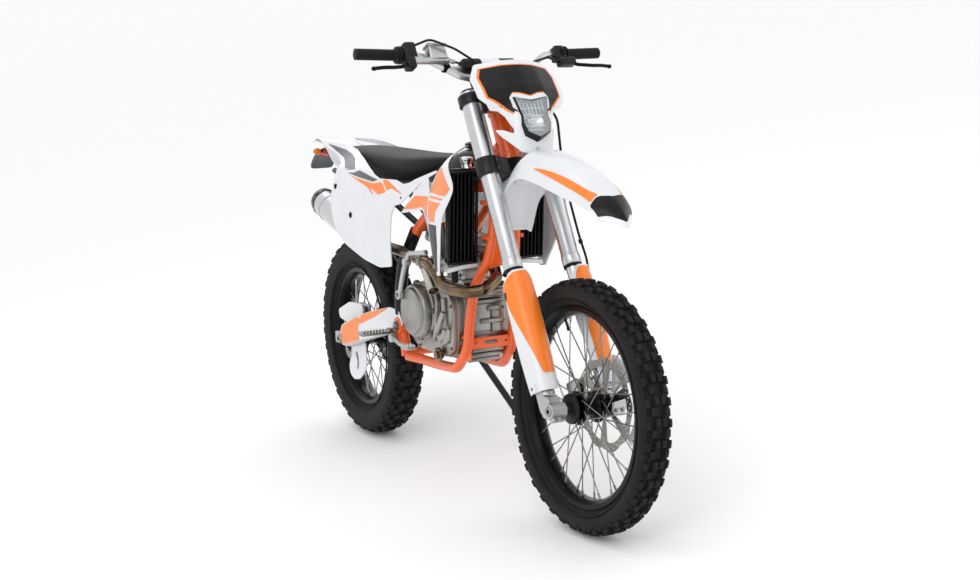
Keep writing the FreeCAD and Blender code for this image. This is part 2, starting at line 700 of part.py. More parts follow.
def bar_controls():
    """Throttle housing, brake master cylinder, both levers and their perches."""
    inward = BAR_INWARD
    pieces = []
    for side in (-1, 1):
        perch = prism(BAR_GRIP + inward * 2, BAR_GRIP + inward * 36, d.bar_radius + 8, 12)
        perch = perch.cut(rod(BAR_GRIP - inward * 5, BAR_GRIP + inward * 60, d.bar_radius + d.seat_gap))
        lever = tube([BAR_GRIP + inward * 24 + V(0, -15, -8), BAR_GRIP + V(0, -48, -22),
                      BAR_GRIP + V(50, -58, -30), BAR_END + V(-16, -46, -32)], 6, 30, 6)
        whole = fused(perch, lever)
        pieces.append(whole if side > 0 else mirror(whole))
    spot = BAR_GRIP + inward * 48 + V(0, -6, 8)
    reservoir = block((-spot.x - 10, -spot.x + 48), (spot.y - 38, spot.y - 6), (spot.z - 8, spot.z + 22))
    clamp = prism(BAR_GRIP + inward * 40, BAR_GRIP + inward * 56, d.bar_radius + 7, 12)
    clamp = clamp.cut(rod(BAR_GRIP + inward * 30, BAR_GRIP + inward * 58, d.bar_radius + d.seat_gap))
    pieces.append(fused(reservoir, mirror(clamp)).cut(
        mirror(rod(BAR_GRIP + inward * 20, BAR_GRIP + inward * 110, d.bar_radius + 1))))
    return feature("steering", "bar_controls", Part.makeCompound(pieces))


def bar_pad():
    brace = BAR_MIDDLE + (BAR_SHOULDER - BAR_KNEE) * 0.45
    brace.x = 0
    pad = block((-84, 84), (brace.y - 22, brace.y + 22), (brace.z - 12, brace.z + 24))
    slot = rod(brace - V(90, 0, 0), brace + V(90, 0, 0), 6 + d.seat_gap)
    return feature("steering", "bar_pad", pad.cut(slot))


handlebar()
grips()
bar_controls()
bar_pad()


# Front bodywork on the fork
MASK_ROWS = (
    (-88, 138, 112, 60), (-38, 146, 122, 66), (12, 148, 128, 68), (72, 142, 112, 60), (132, 124, 84, 44),
    (170, 100, 52, 22),
)


def mask_lines(ahead_by):
    """Rows of points over the mask, below the upper clamp's underside."""
    lines = []
    for below, ahead, half, depth in MASK_ROWS:
        line = []
        for step in range(-4, 5):
            share = step / 4
            line.append(fork_point(half * share, ahead + ahead_by - depth * abs(share) ** 2.4,
                                   d.upper_clamp_bottom - below))
        lines.append(line)
    return lines


def headlight_mask():
    """Number plate and lamp surround: a shell that wraps round the upper fork."""
    shell = skin(mask_lines(0), 3, Y_AXIS)
    leg_front = -d.clamp_offset - d.leg_radius - 0.3
    straps = [block((side * d.leg_place - 8, side * d.leg_place + 8), (-112, leg_front),
                    (d.upper_clamp_bottom - below, d.upper_clamp_bottom - below + 16))
              for side in (-1, 1) for below in (82, 28)]
    whole = fused(shell, *straps).cut(skin(mask_lines(0.01), 60, -Y_AXIS))
    return feature("steering", "headlight_mask", whole.cut(lamp_prism(1.2)))


def lamp_prism(spread):
    middle = d.upper_clamp_bottom - 62
    outline = ((-46, 40), (46, 40), (52, 0), (0, -50), (-52, 0))
    rings = []
    for ahead, share in ((84, 0.9), (154, 1.0)):
        rings.append([fork_point(x * share + math.copysign(spread, x) * (x != 0), ahead,
                                 middle + z * share + math.copysign(spread, z)) for x, z in outline])
    return loft(rings)


def headlamp():
    return feature("steering", "headlamp", lamp_prism(0))


FENDER_STATIONS = (
    (-44, 134, 40, 10), (12, 34, 58, 12), (84, 10, 62, 14), (159, 4, 66, 24), (214, 22, 68, 30),
    (267, 44, 70, 34), (312, 88, 72, 40), (352, 138, 72, 44), (390, 184, 68, 42), (426, 228, 62, 40),
    (474, 322, 44, 24),
)


def fender_lines(drop_by):
    """Rows of points over the front fender, measured from the lower clamp's underside."""
    lines = []
    for ahead, below, half, drop in FENDER_STATIONS:
        line = []
        for step in range(-4, 5):
            share = step / 4
            line.append(fork_point(half * share, ahead - drop * 0.4 * share ** 2,
                                   d.lower_clamp_bottom - below - drop * abs(share) ** 2.2 - drop_by))
        lines.append(line)
    return lines


def front_fender():
    """High fender over the front wheel, with a flap between the fork legs."""
    shell = skin(fender_lines(0), 3, -Z_AXIS)
    mount = block((-34, 34), (-46, -14), (d.lower_clamp_bottom - 30, d.lower_clamp_bottom - 0.3))
    below = skin(fender_lines(2.9), 60, -Z_AXIS)
    return feature("steering", "front_fender", fused(shell, mount.cut(below)))


headlight_mask()
headlamp()
front_fender()


def front_caliper():
    """Caliper over the front disc, held by the left fork lug."""
    disc = FRONT_DISC_PLACE
    body = block((disc - 17, disc + 13), (-AXLE_AHEAD + 84, -AXLE_AHEAD + 142), (34, 108))
    slot = block((disc - 4, disc + 4), (-AXLE_AHEAD + 60, -AXLE_AHEAD + 136), (20, 120))
    arm = block((disc + 5, d.leg_place - d.lug_radius - 0.3), (-d.clamp_offset, -AXLE_AHEAD + 90), (40, 82))
    return feature("steering", "front_caliper", fused(body.cut(slot), arm))


front_caliper()


# Frame
TANK_SADDLE = (884, 918)
PLATE_DEPTH = (-184, -178)
HEAD_MIDDLE = d.lower_clamp_bottom + d.lower_clamp_thick + (d.clamp_spacing - d.lower_clamp_thick) / 2


def head_tube():
    """Tube that the steering stem turns in."""
    bottom = d.lower_clamp_bottom + d.lower_clamp_thick + d.head_gap
    tube_part = rod(on_axis(bottom), on_axis(d.upper_clamp_bottom - d.head_gap), d.head_radius)
    bore = rod(on_axis(bottom - 20), on_axis(d.upper_clamp_bottom + 20), d.stem_radius + d.running_gap)
    return feature("chassis", "head_tube", tube_part.cut(bore))


def main_frame(head):
    """The two main spars from the head tube down to the swingarm pivot, with the footpeg plates."""
    place, height = d.pivot_place, d.pivot_height
    spar = tube([on_axis(HEAD_MIDDLE - 30, -6, 19), V(40, -240, 968), V(74, -130, 905), V(94, -30, 846),
                 V(102, 90, 765), V(104, 200, height + 198), V(101, place + 4, height + 88),
                 V(101, place, height), V(100, place - 20, d.cradle_height)], d.spar_radius, 120, 8)
    peg_plate = block((100, 124), (place - 10, place + 52), (height - 48, height - 24))
    pivot = rod(V(60, place, height), V(140, place, height), d.pivot_radius + d.seat_gap)
    whole = fused(spar, peg_plate).cut(pivot).cut(head.Shape).cut(head_inside())
    return feature("chassis", "main_frame", both_sides(largest(whole)))


def head_inside():
    return rod(on_axis(d.lower_clamp_bottom), on_axis(d.upper_clamp_bottom), d.stem_radius + 4)


def largest(shape):
    return max(shape.Solids, key=lambda solid: solid.Volume)


def frame_cross(*neighbours):
    """Cross tubes and the tank's saddle between the spars, and the plates between the down tubes."""
    low = V(0, d.pivot_place - 20, d.cradle_height + 10)
    shock_cross = prism(V(-102, 96, 770), V(102, 96, 770), 12, 8)
    low_cross = prism(low - V(100, 0, 0), low + V(100, 0, 0), 12, 8)
    saddle = block((-78, 78), (-104, -86), TANK_SADDLE)
    gusset = loft([[V(-30, -312, 900), V(30, -312, 900), V(30, -304, 900), V(-30, -304, 900)],
                   [V(-44, -276, 680), V(44, -276, 680), V(44, -268, 680), V(-44, -268, 680)]])
    window = [V(-11, -400, 812), V(9, -400, 826), V(7, -400, 792), V(-8, -400, 770)]
    gusset = gusset.cut(Part.Face(Part.makePolygon(window + window[:1])).extrude(V(0, 200, 0)))
    plate_part = block((-d.cradle_half, d.cradle_half), PLATE_DEPTH, (428, 462))
    openings = [block((-22, 22), (-200, -170), (440, 452))]
    openings += [prism(V(x, -200, 446), V(x, -170, 446), 4.5, 8) for x in (-48, 48)]
    plate_part = plate_part.cut(Part.makeCompound(openings))
    around = Part.makeCompound([item.Shape for item in neighbours])
    pieces = [largest(piece.cut(around)) for piece in (shock_cross, low_cross, saddle, gusset, plate_part)]
    return feature("chassis", "frame_cross", Part.makeCompound(pieces))


def frame_cradle(head, spars):
    """Twin down tubes that part below the gusset and run under the engine, with the radiator tabs."""
    low = d.cradle_height
    side = tube([on_axis(HEAD_MIDDLE - 34, -24, 20), on_axis(HEAD_MIDDLE - 68, -74, 24), V(34, -298, 800),
                 V(42, -270, 704), V(70, -226, 618), V(d.cradle_half - 2, -196, 520),
                 V(d.cradle_half, -178, 430), V(d.cradle_half + 4, -110, low + 6),
                 V(d.cradle_half + 8, 10, low), V(d.cradle_half + 14, 130, low), V(100, 200, low)],
                d.down_tube_radius, 90)
    tabs = [block((46, d.radiator_inner - 0.3), (-300, -246), (z, z + 20)) for z in (760, 860)]
    whole = fused(side, *tabs).cut(spars.Shape).cut(head.Shape).cut(head_inside())
    return feature("chassis", "frame_cradle", both_sides(largest(whole)))


def subframe(spars):
    """Rear frame under the seat."""
    upper = tube([V(100, 70, 778), V(96, 300, 846), V(80, 600, 868), V(60, 860, 905)],
                 d.subframe_radius, 120)
    lower = tube([V(103, 190, 640), V(100, 320, 700), V(82, 590, 858)], d.subframe_radius, 120)
    cross = prism(V(-82, 580, 864), V(82, 580, 864), 8, 8)
    whole = fused(upper, lower, mirror(upper), mirror(lower), cross)
    return feature("chassis", "subframe", whole.cut(spars.Shape))


HEAD_TUBE = head_tube()
SPARS = main_frame(HEAD_TUBE)
CRADLE = frame_cradle(HEAD_TUBE, SPARS)
REAR_FRAME = subframe(SPARS)
frame_cross(SPARS, CRADLE, REAR_FRAME)


# Engine
def crankcase():
    """Case halves with the sprocket's bay, and the ribs cast on the front and below."""
    outline = [(-150, 430), (-156, 560), (-110, 616), (120, 616), (168, 590), (178, 540), (180, 420),
               (120, 384), (-90, 384)]
    case = plate(outline, -d.case_half, 2 * d.case_half)
    bay = block((d.chain_line - 26, d.case_half + 1), (96, 200), (400, 540))
    shaft = prism(V(40, 150, 470), V(d.chain_line + 8, 150, 470), 10, 12)
    rear_clear = block((-d.case_half - 1, d.case_half + 1), (178, 240), (370, 520))
    front_lug = block((-30, 30), (PLATE_DEPTH[1] + 0.3, -140), (431, 439))
    cradle_clear = both_sides(block((54, 140), (-160, 130), (360, 384 + 8)))
    ribs = []
    for half, place, height, radius in ((60, -142, 588, 12), (50, -160, 546, 9), (50, -162, 508, 8),
                                        (52, -150, 424, 9), (52, -126, 408, 8)):
        ribs.append(prism(V(-half, place, height), V(half, place, height), radius, 8))
    face = block((-56, 60), (-164, -150), (476, 572))
    whole = fused(case.cut(bay).cut(rear_clear).cut(cradle_clear), shaft, front_lug, face, *ribs)
    return feature("chassis", "crankcase", whole)


def drum(centre, profile, sides):
    """A round cover with flat sides, from (outward, radius) steps along X."""
    rings = []
    for outward, radius in profile:
        ring = []
        for i in range(sides):
            angle = 2 * math.pi * (i + 0.5) / sides
            ring.append(centre + V(outward, radius * math.cos(angle), radius * math.sin(angle)))
        rings.append(ring)
    return loft(rings)


def drive_sprocket():
    start = V(d.chain_line - d.sprocket_thick / 2, 150, 470)
    wheel = prism(start, start + X_AXIS * d.sprocket_thick, 24, 16)
    hole = prism(start, start + X_AXIS * d.sprocket_thick, 10 + d.seat_gap, 12)
    return feature("chassis", "drive_sprocket", wheel.cut(hole))


def engine_covers():
    """Clutch and water pump covers on the right and the ignition cover on the left."""
    radius = d.clutch_radius
    clutch = drum(V(-d.case_half, d.clutch_place, d.clutch_height),
                  [(0, radius), (-26, radius), (-33, radius - 7), (-36, radius - 14), (-43, radius - 15),
                   (-CLUTCH_DEPTH, radius - 22)], 28)
    pump = drum(V(-d.case_half, -86, 470), [(0, 34), (-10, 33), (-14, 25), (-22, 22)], 16)
    ignition = drum(V(d.case_half, d.crank_place, d.crank_height), [(0, 66), (18, 64), (26, 54)], 24)
    return feature("chassis", "engine_covers", Part.makeCompound([clutch, pump, ignition]))


CLUTCH_DEPTH = 46
HEADER_START = V(0, -161, 692)
HEADER_RUN = V(-4, -75, -20).normalize()


def cylinder():
    """Cylinder and head, with the exhaust port."""
    body = block((-58, 58), (-128, 4), (616.2, 662))
    head = block((-64, 64), (-136, 10), (660, 760))
    port = prism(HEADER_START - HEADER_RUN * 34, HEADER_START, 26, 16)
    return feature("chassis", "cylinder", fused(body, head, port))


SILENCER_START = V(-136, 424, 708)
SILENCER_END = V(-136, 800, 815)
SILENCER_RUN = (SILENCER_END - SILENCER_START).normalize()


def exhaust_header():
    """Pipe that leaves the head forwards and turns back around the right down tube."""
    path = [HEADER_START + HEADER_RUN * 0.3, HEADER_START + HEADER_RUN * 72, V(-30, -297, 652), V(-84, -322, 625),
            V(-121, -298, 619), V(-141, -240, 619), V(-142, -165, 624), V(-142, -130, 652),
            V(-143, -90, 679), V(-143, -35, 686), V(-143, 120, 700), V(-141, 300, 704),
            SILENCER_START - SILENCER_RUN * 50, SILENCER_START]
    return feature("chassis", "exhaust_header", tube(path, d.header_radius))


def silencer():
    start = SILENCER_START + SILENCER_RUN * 0.3
    bracket = block((-98, -76), (640, 654), (766, 863.4))
    can = prism(start, SILENCER_END, d.silencer_radius, 24)
    outlet = rod(SILENCER_END - SILENCER_RUN * d.outlet_depth, SILENCER_END + SILENCER_RUN, d.outlet_radius)
    return feature("chassis", "silencer", fused(can, bracket).cut(outlet))


def kickstart_lever():
    """Lever on the shaft beside the clutch cover, its foot folded along the bike."""
    shaft = prism(V(-d.case_half - CLUTCH_DEPTH - 0.3, 116, 567), V(-168, 116, 567), 12, 12)
    arm = tube([V(-158, 116, 567), V(-162, 88, 610), V(-173, 40, 655), V(-176, 16, 678)], 7.5, None, 8)
    foot = tube([V(-176, 20, 672), V(-177, -8, 708), V(-178, -134, 723)], 7.5, None, 8)
    return feature("chassis", "kickstart_lever", fused(shaft, arm, foot))


crankcase()
drive_sprocket()
engine_covers()
cylinder()
exhaust_header()
silencer()
kickstart_lever()


# Cooling and bodywork
def radiators():
    """Leaning cores, each behind a row of upright louvres."""
    outline = [(-228, 697), (-200, 697), (-228, 965), (-256, 965)]
    louvre = [(-240, 700), (-226, 700), (-254, 962), (-268, 962)]
    core = plate(outline, d.radiator_inner, d.radiator_width)
    count, thick = int(d.louvre_count), 3
    spacing = (d.radiator_width - thick) / (count - 1)
    slats = [plate(louvre, d.radiator_inner + i * spacing, thick) for i in range(count)]
    return feature("chassis", "radiators", both_sides(fused(core, *slats)))


def fuel_tank():
    rings = []
    for y, half, low, high in ((-205, 42, 968, 1012), (-130, 52, 930, 1024), (-62, 60, 900, 1004),
                               (-48, 60, 896, 968), (60, 60, 860, 930)):
        rings.append([V(-half, y, low), V(half, y, low), V(half * 0.9, y, high - 30), V(half * 0.5, y, high),
                      V(-half * 0.5, y, high), V(-half * 0.9, y, high - 30)])
    saddle = block((-90, 90), (-104.2, -85.8), (TANK_SADDLE[0] - 20, TANK_SADDLE[1] + 0.2))
    return feature("chassis", "fuel_tank", loft(rings).cut(saddle))


def seat():
    rings = []
    for y, half, low, high in ((-46, 46, 976, 992), (62, 78, 940, 992), (200, 104, 900, 990),
                               (460, 96, 896, 994), (700, 80, 915, 996), (838, 50, 935, 984)):
        rings.append([V(-half, y, low), V(half, y, low), V(half * 0.86, y, high - 12),
                      V(half * 0.5, y, high), V(-half * 0.5, y, high), V(-half * 0.86, y, high - 12)])
    fender_top = skin(rear_fender_lines(-0.4), 80, -Z_AXIS)
    lip = block((-110, 110), (510, 521), (870, 906))
    return feature("chassis", "seat", loft(rings).cut(fender_top).cut(lip))


def panel_lines(stations, outward=0.0):
    return [[V(out + outward, y, z) for z, out in zip((600, 720, 840, 960), outs)] for y, outs in stations]


def moulded_panel(stations, thickness, outline, *struts):
    """A wall whose distance from the middle varies along the bike, cut to an outline, with struts inside."""
    wall = skin(panel_lines(stations), thickness, -X_AXIS)
    outside = skin(panel_lines(stations, -1), 90, X_AXIS)
    inner = [strut.cut(outside) for strut in struts]
    return fused(wall.common(plate(outline, 60, 240)), *inner)


def side_depth(y, z):
    """Distance of the side panel's outside from the middle: a surface curved both ways."""
    a, b = y / 1000, z / 1000
    return -393.9 + 268.3 * a + 1423.5 * b - 144.2 * a ** 2 - 194.6 * a * b - 901 * b ** 2


PANEL_ROWS = (
    ((-104, 950), (-93, 958)), ((-30, 900), (0, 921)), ((50, 853), (48, 912)), ((100, 846), (110, 928)),
    ((113, 776), (128, 931)), ((134, 676), (160, 938)), ((223, 642), (250, 954)), ((321, 658), (350, 972)),
    ((461, 697), (470, 990)), ((542, 741), (540, 997)), ((581, 787), (580, 999)), ((607, 860), (600, 1000)),
    ((605, 923), (640, 1001)), ((650, 955), (690, 1002)), ((740, 974), (760, 1003)),
    ((851, 989), (850, 1004)),
)


def side_panels():
    """Moulded panels from the shroud to the tail, each on a strut from the rear frame."""
    lines = []
    for low, high in PANEL_ROWS:
        line = []
        for step in range(4):
            y, z = (low[i] + (high[i] - low[i]) * step / 3 for i in (0, 1))
            line.append(V(side_depth(y, z), y, z))
        lines.append(line)
    strut = block((106.3, side_depth(300, 846) - 1.5), (290, 310), (836, 856))
    return feature("chassis", "side_panels", both_sides(fused(skin(lines, 3, -X_AXIS), strut)))


SHROUD_EDGES = (
    ((60, -212, 1031), (64, -186, 1026)), ((112, -218, 1008), (106, -168, 1003)),
    ((160, -276, 984), (150, -168, 976)), ((185, -376, 925), (164, -146, 912)),
    ((200, -316, 843), (174, -106, 851)), ((195, -290, 780), (179, -166, 780)),
    ((178, -246, 680), (171, -176, 680)), ((172, -235, 648), (167, -190, 641)),
)


def shrouds():
    """Shroud beside each radiator with its lip turned in, and a wing that runs back to the side panel."""
    lines = []
    for front, rear in SHROUD_EDGES:
        front, rear = V(*front), V(*rear)
        lines.append([front + V(-15, 7, -1), front, (front + rear) * 0.5 + V(4, 0, 0), rear])
    wing = plate([(-150, 938), (-46, 896), (40, 842), (70, 824), (-40, 838), (-104, 846), (-160, 806)], 167, 4)
    start = d.radiator_inner + d.radiator_width + 0.3
    arm = block((start, start + 18), (-250, -236), (900, 920))
    return feature("chassis", "shrouds", both_sides(fused(skin(lines, 3, -X_AXIS), wing, arm)))


FENDER_STATIONS = (
    (520, 100, 905, 34), (700, 94, 938, 32), (880, 76, 978, 28), (1000, 60, 999, 22), (1122, 44, 1000, 16),
)


def rear_fender_lines(drop):
    lines = []
    for y, half, top, edge_drop in FENDER_STATIONS:
        line = []
        for step in range(-3, 4):
            share = step / 3
            line.append(V(half * share, y, top - drop - edge_drop * abs(share) ** 2.4))
        lines.append(line)
    return lines


def rear_fender():
    shell = skin(rear_fender_lines(0), 3, -Z_AXIS)
    posts = [block((side * 79 - 9, side * 79 + 9), (592, 612), (880, 906)) for side in (-1, 1)]
    posts.append(block((-22, 22), (1034, 1074), (966, 1001)))
    above = skin(rear_fender_lines(-0.01), 60, Z_AXIS)
    return feature("chassis", "rear_fender", fused(shell, *posts).cut(above))


def tail_lamp():
    return feature("chassis", "tail_lamp", block((-36, 36), (1030, 1078), (938, 965.7)))


radiators()
fuel_tank()
seat()
side_panels()
shrouds()
rear_fender()
tail_lamp()


# Rear suspension and drive
SHOCK_FOOT = V(0, d.pivot_place + 20, d.pivot_height + 59)
LINK_PAIR = 31.75
CHAIN_WAIST = 0.6


def swingarm():
    """Pivot tube, box arms that widen behind the pivot, and the bridge."""
    pivot = V(0, d.pivot_place, d.pivot_height)

    def box_ring(y, inner, outer, low, high):
        return [V(inner, y, low), V(outer, y, low), V(outer, y, high), V(inner, y, high)]

    arm = loft([box_ring(pivot.y, 52, 80, pivot.z - 24, pivot.z + 24),
                box_ring(pivot.y + 50, 54, 81, pivot.z - 32, pivot.z + 26),
                box_ring(pivot.y + 160, 86, 112, pivot.z - 60, pivot.z + 14),
                box_ring(REAR_AXLE.y - 60, 86, 112, REAR_AXLE.z - 26, REAR_AXLE.z + 34),
                box_ring(REAR_AXLE.y + 36, 86, 112, REAR_AXLE.z - 24, REAR_AXLE.z + 24)])
    barrel = prism(pivot - V(82, 0, 0), pivot + V(82, 0, 0), 25, 12)
    tyre_front = REAR_AXLE.y - d.rear_tyre_radius
    bridge = block((-90, 90), (tyre_front - d.bridge_gap - 56, tyre_front - d.bridge_gap),
                   (pivot.z - 46, pivot.z + 4))
    shock_seat = block((-18, 18), (pivot.y + 8, pivot.y + 40), (pivot.z + 14, SHOCK_FOOT.z - 13))
    whole = fused(arm, mirror(arm), barrel, bridge, shock_seat)
    whole = whole.cut(rod(pivot - V(140, 0, 0), pivot + V(140, 0, 0), d.pivot_radius + d.seat_gap))
    axle_bore = rod(REAR_AXLE - V(140, 0, 0), REAR_AXLE + V(140, 0, 0), d.rear_axle_radius + d.seat_gap)
    return feature("chassis", "swingarm", whole.cut(axle_bore))


def swingarm_bolt():
    pivot = V(0, d.pivot_place, d.pivot_height)
    bolt = rod(pivot - V(122, 0, 0), pivot + V(122, 0, 0), d.pivot_radius)
    return feature("chassis", "swingarm_bolt", bolt)


def rear_axle():
    """Hollow axle across both ends of the swingarm."""
    start, stop = REAR_AXLE - V(124, 0, 0), REAR_AXLE + V(124, 0, 0)
    shaft = rod(start, stop, d.rear_axle_radius).cut(rod(start, stop, d.rear_axle_bore))
    return feature("chassis", "rear_axle", shaft)


def shock_absorber():
    body = prism(SHOCK_FOOT, V(0, 102.6, 759.2), 26, 16)
    return feature("chassis", "shock_absorber", body)


def drive_chain():
    """Closed loop of links around both sprockets, waisted between its pins."""
    front, rear = V(0, 150, 470), REAR_AXLE
    small, large = 32, d.sprocket_radius - 1
    run = rear - front
    length, tilt = math.hypot(run.y, run.z), math.atan2(run.z, run.y)
    lean = math.asin((large - small) / length)
    up, down = tilt + math.pi / 2 + lean, tilt - math.pi / 2 - lean
    straight = math.sqrt(length ** 2 - (large - small) ** 2)
    runs = ((straight, front, rear, small, large, up, 0),
            (large * (math.pi + 2 * lean), rear, rear, large, large, up, math.pi + 2 * lean),
            (straight, rear, front, large, small, down, 0),
            (small * (math.pi - 2 * lean), front, front, small, small, down, math.pi - 2 * lean))
    total = sum(item[0] for item in runs)

    def edge_point(place, extra):
        for span, start, end, radius, end_radius, angle, wrap in runs:
            if place <= span:
                break
            place -= span
        share = min(1, place / span)
        centre = start + (end - start) * share
        reach = radius + (end_radius - radius) * share + extra
        angle -= wrap * share
        return V(d.chain_line - d.chain_thick / 2, centre.y + reach * math.cos(angle),
                 centre.z + reach * math.sin(angle))

    count = 2 * round(total / LINK_PAIR)
    loops = []
    for side in (1, -1):
        points = []
        for i in range(count):
            deep = d.chain_deep / 2 * (CHAIN_WAIST if i % 2 else 1)
            points.append(edge_point(total * i / count, side * deep))
        loops.append(Part.Face(Part.makePolygon(points + points[:1])).extrude(X_AXIS * d.chain_thick))
    return feature("chassis", "drive_chain", loops[0].cut(loops[1]))


def rear_caliper():
    disc = REAR_DISC_PLACE
    body = block((disc - 18, disc + 18), (REAR_AXLE.y - 116, REAR_AXLE.y - 40),
                 (REAR_AXLE.z + 66, REAR_AXLE.z + 124))
    slot = block((disc - 6, disc + 6), (REAR_AXLE.y - 130, REAR_AXLE.y - 20),
                 (REAR_AXLE.z + 40, REAR_AXLE.z + 118))
    bracket = block((-85.7, disc - 12), (REAR_AXLE.y - 100, REAR_AXLE.y - 60),
                    (REAR_AXLE.z + 12, REAR_AXLE.z + 70))
    return feature("chassis", "rear_caliper", fused(body.cut(slot), bracket))


def footpegs():
    """Open pegs with a toothed rim."""
    place, height = d.pivot_place + 36, d.pivot_height - 20
    peg = block((124.3, 236), (place - 22, place + 22), (height - 8, height + 4))
    window = block((146, 226), (place - 12, place + 12), (height - 20, height + 20))
    teeth = []
    for x in range(140, 236, 16):
        teeth += [block((x, x + 7), (y, y + 5), (height + 3, height + 8)) for y in (place - 22, place + 17)]
    return feature("chassis", "footpegs", both_sides(fused(peg.cut(window), *teeth)))


def brake_pedal():
    place, height = d.pivot_place + 4, d.pivot_height - 38
    pivot = prism(V(-124.3, place, height), V(-138, place, height), 9, 10)
    arm = tube([V(-134, place, height), V(-140, 170, height - 12), V(-156, 60, height - 2)], 7, 60, 8)
    tip = block((-186, -146), (20, 66), (height - 6, height + 10))
    return feature("chassis", "brake_pedal", fused(pivot, arm, tip))


def gear_lever():
    """Shift lever on the left of the crankcase."""
    end = d.case_half + 26
    shaft = prism(V(d.case_half + 0.3, 70, 420), V(end, 70, 420), 8, 10)
    arm = tube([V(end - 5, 70, 420), V(end + 2, 10, 414), V(end + 6, -46, 420)], 6, 60, 8)
    tip = prism(V(end, -48, 421), V(end + 40, -48, 423), 7, 8)
    return feature("chassis", "gear_lever", fused(shaft, arm, tip))


swingarm()
swingarm_bolt()
rear_axle()
shock_absorber()
drive_chain()
rear_caliper()
footpegs()
brake_pedal()
gear_lever()


# Placing the bike on the ground
def placement(base, rotation=None):
    return FreeCAD.Placement(base, rotation or FreeCAD.Rotation())


STEERING_PLACE = placement(STEER_BASE, FreeCAD.Rotation(X_AXIS, -d.rake_angle)).multiply(
    placement(V(0, 0, 0), FreeCAD.Rotation(Z_AXIS, d.steer_angle)))
GROUP_PLACES = {
    "chassis": placement(V(0, 0, 0)),
    "steering": STEERING_PLACE,
    "front_wheel": STEERING_PLACE.multiply(placement(V(0, -AXLE_AHEAD, 0))),
    "rear_wheel": placement(REAR_AXLE),
    "side_stand": placement(V(0, 0, 0)),
}


def lowest_point(shape, place):
    corners, _ = shape.tessellate(0.3)
    return min((place.multVec(corner) for corner in corners), key=lambda p: p.z)


def leaned_place():
    """Lean to the left, then level so that both tyres touch the ground."""
    place = placement(V(0, 0, 0), FreeCAD.Rotation(Y_AXIS, d.lean_angle))
    for _ in range(3):
        lows = []
        for label in ("front_tyre", "rear_tyre"):
            group, item = subparts[label]
            lows.append(lowest_point(item.Shape, place.multiply(GROUP_PLACES[group])))
        front, rear = lows
        level = math.degrees(math.atan2(rear.z - front.z, rear.y - front.y))
        place = placement(V(0, 0, 0), FreeCAD.Rotation(X_AXIS, -level)).multiply(place)
        place = placement(V(0, 0, -front.z)).multiply(place)
    return place


doc.recompute()
LEAN_PLACE = leaned_place()


STAND_PIVOT = V(d.stand_pivot_x, d.stand_pivot_place, d.stand_pivot_height)
STAND_GROUND = LEAN_PLACE.multVec(V(d.stand_reach, STAND_PIVOT.y - d.stand_lead, 60))
STAND_GROUND.z = 0
STAND_SOLE = LEAN_PLACE.inverse().multVec(STAND_GROUND)


def side_stand():
    """Leg, pivot lug and foot; the foot lies flat on the ground under the leaned bike."""
    pivot = STAND_PIVOT
    to_bike = LEAN_PLACE.inverse()
    upward = to_bike.Rotation.multVec(Z_AXIS)
    sole = prism(STAND_SOLE, STAND_SOLE + upward * 8, 30, 16)
    ankle = STAND_SOLE + upward * 6
    leg = prism(pivot + V(4, 0, -14), ankle, d.stand_radius, 10)
    lug = prism(pivot - V(6, 0, 0), pivot + V(14, 0, 0), 19, 14)
    whole = fused(leg, lug, sole)
    bore = rod(pivot - V(30, 0, 0), pivot + V(40, 0, 0), d.stand_bolt_radius + d.running_gap)
    return feature("side_stand", "side_stand", whole.cut(bore))


def stand_bracket():
    """Bracket on the left cradle tube that carries the side stand."""
    pivot = STAND_PIVOT
    bolt = rod(pivot - V(34, 0, 0), pivot + V(18, 0, 0), d.stand_bolt_radius)
    head = prism(pivot + V(14.5, 0, 0), pivot + V(20, 0, 0), 10, 6)
    plate_part = block((pivot.x - 34, pivot.x - 8), (pivot.y - 22, pivot.y + 22), (330, 372))
    return feature("chassis", "stand_bracket", fused(bolt, head, plate_part).cut(CRADLE.Shape))


side_stand()
stand_bracket()
doc.recompute()


def whole_bounds():
    bounds = FreeCAD.BoundBox()
    for group, item in subparts.values():
        shape = item.Shape.copy()
        shape.Placement = LEAN_PLACE.multiply(GROUP_PLACES[group]).multiply(shape.Placement)
        bounds.add(shape.optimalBoundingBox(False))
    return bounds


BOUNDS = whole_bounds()
CENTRED = placement(V(-BOUNDS.Center.x, -BOUNDS.Center.y, 0)).multiply(LEAN_PLACE)
for group, item in subparts.values():
    item.Placement = CENTRED.multiply(GROUP_PLACES[group]).multiply(item.Placement)
doc.recompute()

for item in doc.Objects:
    states = set(item.State)
    if states & {"Invalid", "Error"}:
        raise RuntimeError(f"{item.Label}: {sorted(states)}")
for label, (group, item) in subparts.items():
    if item.Shape.isNull() or not item.Shape.isValid():
        raise RuntimeError(f"{label}: the shape is null or not valid")

os.makedirs(PARTS_FOLDER, exist_ok=True)
for label, (group, item) in subparts.items():
    item.Shape.exportStep(f"{PARTS_FOLDER}/{label}.step")


# Places that the record states
def stated(point):
    moved = CENTRED.multVec(point)
    return [round(c / 1000, 6) for c in (moved.x, moved.y, moved.z)]


def direction(vector):
    moved = CENTRED.Rotation.multVec(vector)
    return [round(c, 6) for c in (moved.x, moved.y, moved.z)]


